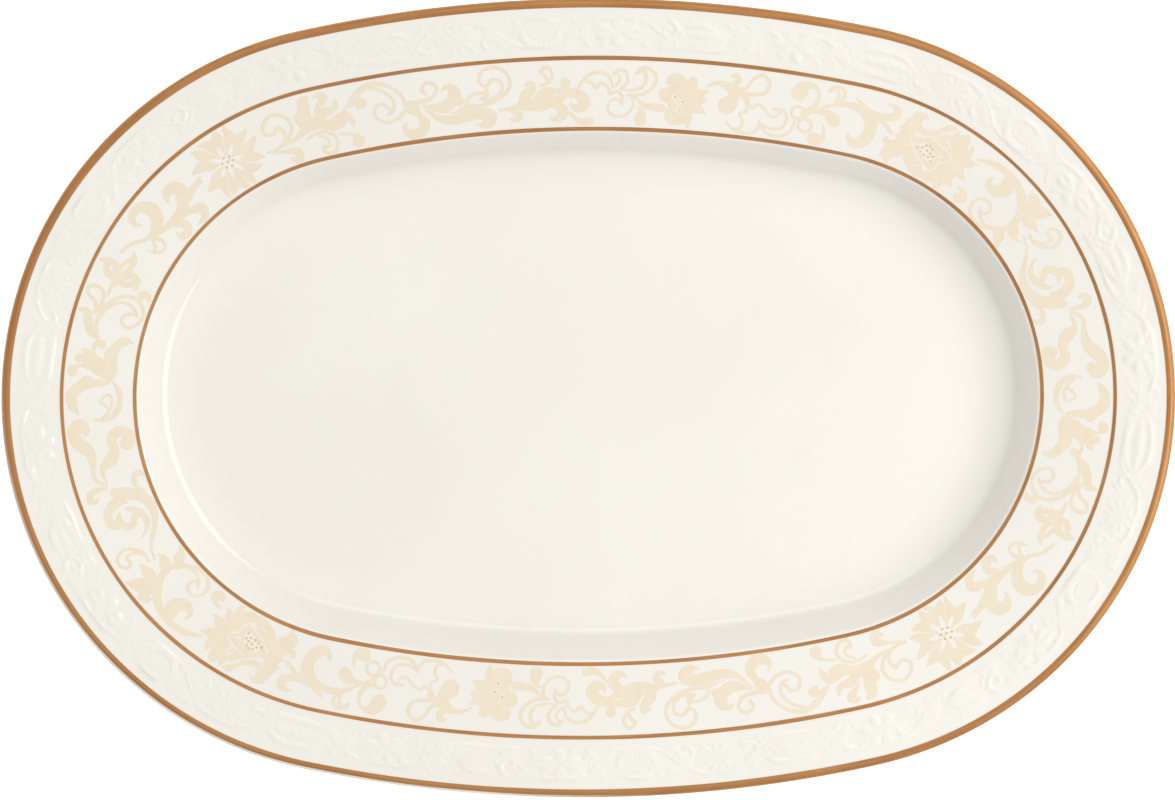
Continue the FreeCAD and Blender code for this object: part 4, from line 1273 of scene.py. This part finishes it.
mesh.from_pydata(relief_points, [], relief_faces)
garland = bpy.data.objects.new("relief_round_the_rim", mesh)
bpy.context.scene.collection.objects.link(garland)
bpy.ops.object.select_all(action="DESELECT")
bpy.context.view_layer.objects.active = garland
garland.select_set(True)
bpy.ops.object.mode_set(mode="EDIT")
bpy.ops.mesh.select_all(action="SELECT")
bpy.ops.mesh.normals_make_consistent(inside=False)
bpy.ops.object.mode_set(mode="OBJECT")
bpy.ops.object.shade_smooth_by_angle(angle=math.radians(75))
mesh.materials.append(glaze)
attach(garland, "root")
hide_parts("relief_garland")

# ---------------------------------------------------------------- The table, the light and the view
# A pale table top in a bright room, a soft box close by on the right, a larger one further off behind, and a
# camera nearly overhead, far enough off to flatten the view.

bpy.ops.object.select_all(action="DESELECT")
bpy.ops.mesh.primitive_plane_add(size=6, location=(0, 0, -0.05 * MM))
table = bpy.context.object
table.name = "table_top"
table_paint, tree, shader, place = new_material("table_paint")
paint = node_colour(tree, (0.93, 0.93, 0.925), (0.96, 0.96, 0.955), noise(tree, place, 9, 3))
tree.links.new(paint, shader.inputs["Base Color"])
shader.inputs["Emission Color"].default_value = (1, 1, 1, 1)
shader.inputs["Emission Strength"].default_value = 0.33
shader.inputs["Roughness"].default_value = 0.9
table.data.materials.append(table_paint)


def soft_box(name, place, size, power, tint):
    light = bpy.data.lights.new(name, "AREA")
    light.shape = "RECTANGLE"
    light.size, light.size_y = size
    light.energy = power
    light.color = tint
    lamp = bpy.data.objects.new(name, light)
    bpy.context.scene.collection.objects.link(lamp)
    lamp.location = place
    lamp.rotation_euler = (Vector((0, 0, 0)) - Vector(place)).to_track_quat("-Z", "Y").to_euler()
    return lamp


soft_box("right_soft_box", (0.72, 0.05, 0.63), (1.3, 0.65), 5.5, (1.0, 0.99, 0.97))
soft_box("back_soft_box", (-0.2, 1.5, 1.9), (1.8, 0.9), 5, (1.0, 1.0, 1.0))

world = bpy.data.worlds.new("studio")
world.use_nodes = True
sky = world.node_tree
direction = sky.nodes.new("ShaderNodeTexCoord").outputs["Generated"]
height = sky.nodes.new("ShaderNodeSeparateXYZ")
sky.links.new(direction, height.inputs[0])
overhead = between(sky, height.outputs["Z"], 0.0, 0.75)
room = node_colour(sky, (0.74, 0.74, 0.745), (1.0, 0.995, 0.985), overhead)
sky.links.new(room, sky.nodes["Background"].inputs["Color"])
sky.nodes["Background"].inputs["Strength"].default_value = 0.75
bpy.context.scene.world = world
bpy.context.scene.view_settings.view_transform = "Standard"

CAMERA_DISTANCE = 2.6
CAMERA_TILT = math.radians(7)  # towards the far side
CAMERA_ROLL = math.radians(-0.4)
VIEW_WIDTH = 350.3 * MM
SENSOR = 36.0
aim = Vector((1.95 * MM, 0.25 * MM, EDGE_TOP))
camera_data = bpy.data.cameras.new("camera")
camera_data.sensor_width = SENSOR
camera_data.lens = SENSOR * CAMERA_DISTANCE / VIEW_WIDTH
camera = bpy.data.objects.new("camera", camera_data)
bpy.context.scene.collection.objects.link(camera)
camera.location = aim + CAMERA_DISTANCE * Vector((0, math.sin(CAMERA_TILT), math.cos(CAMERA_TILT)))
camera.rotation_euler = (-CAMERA_TILT, 0, CAMERA_ROLL)
bpy.context.scene.camera = camera
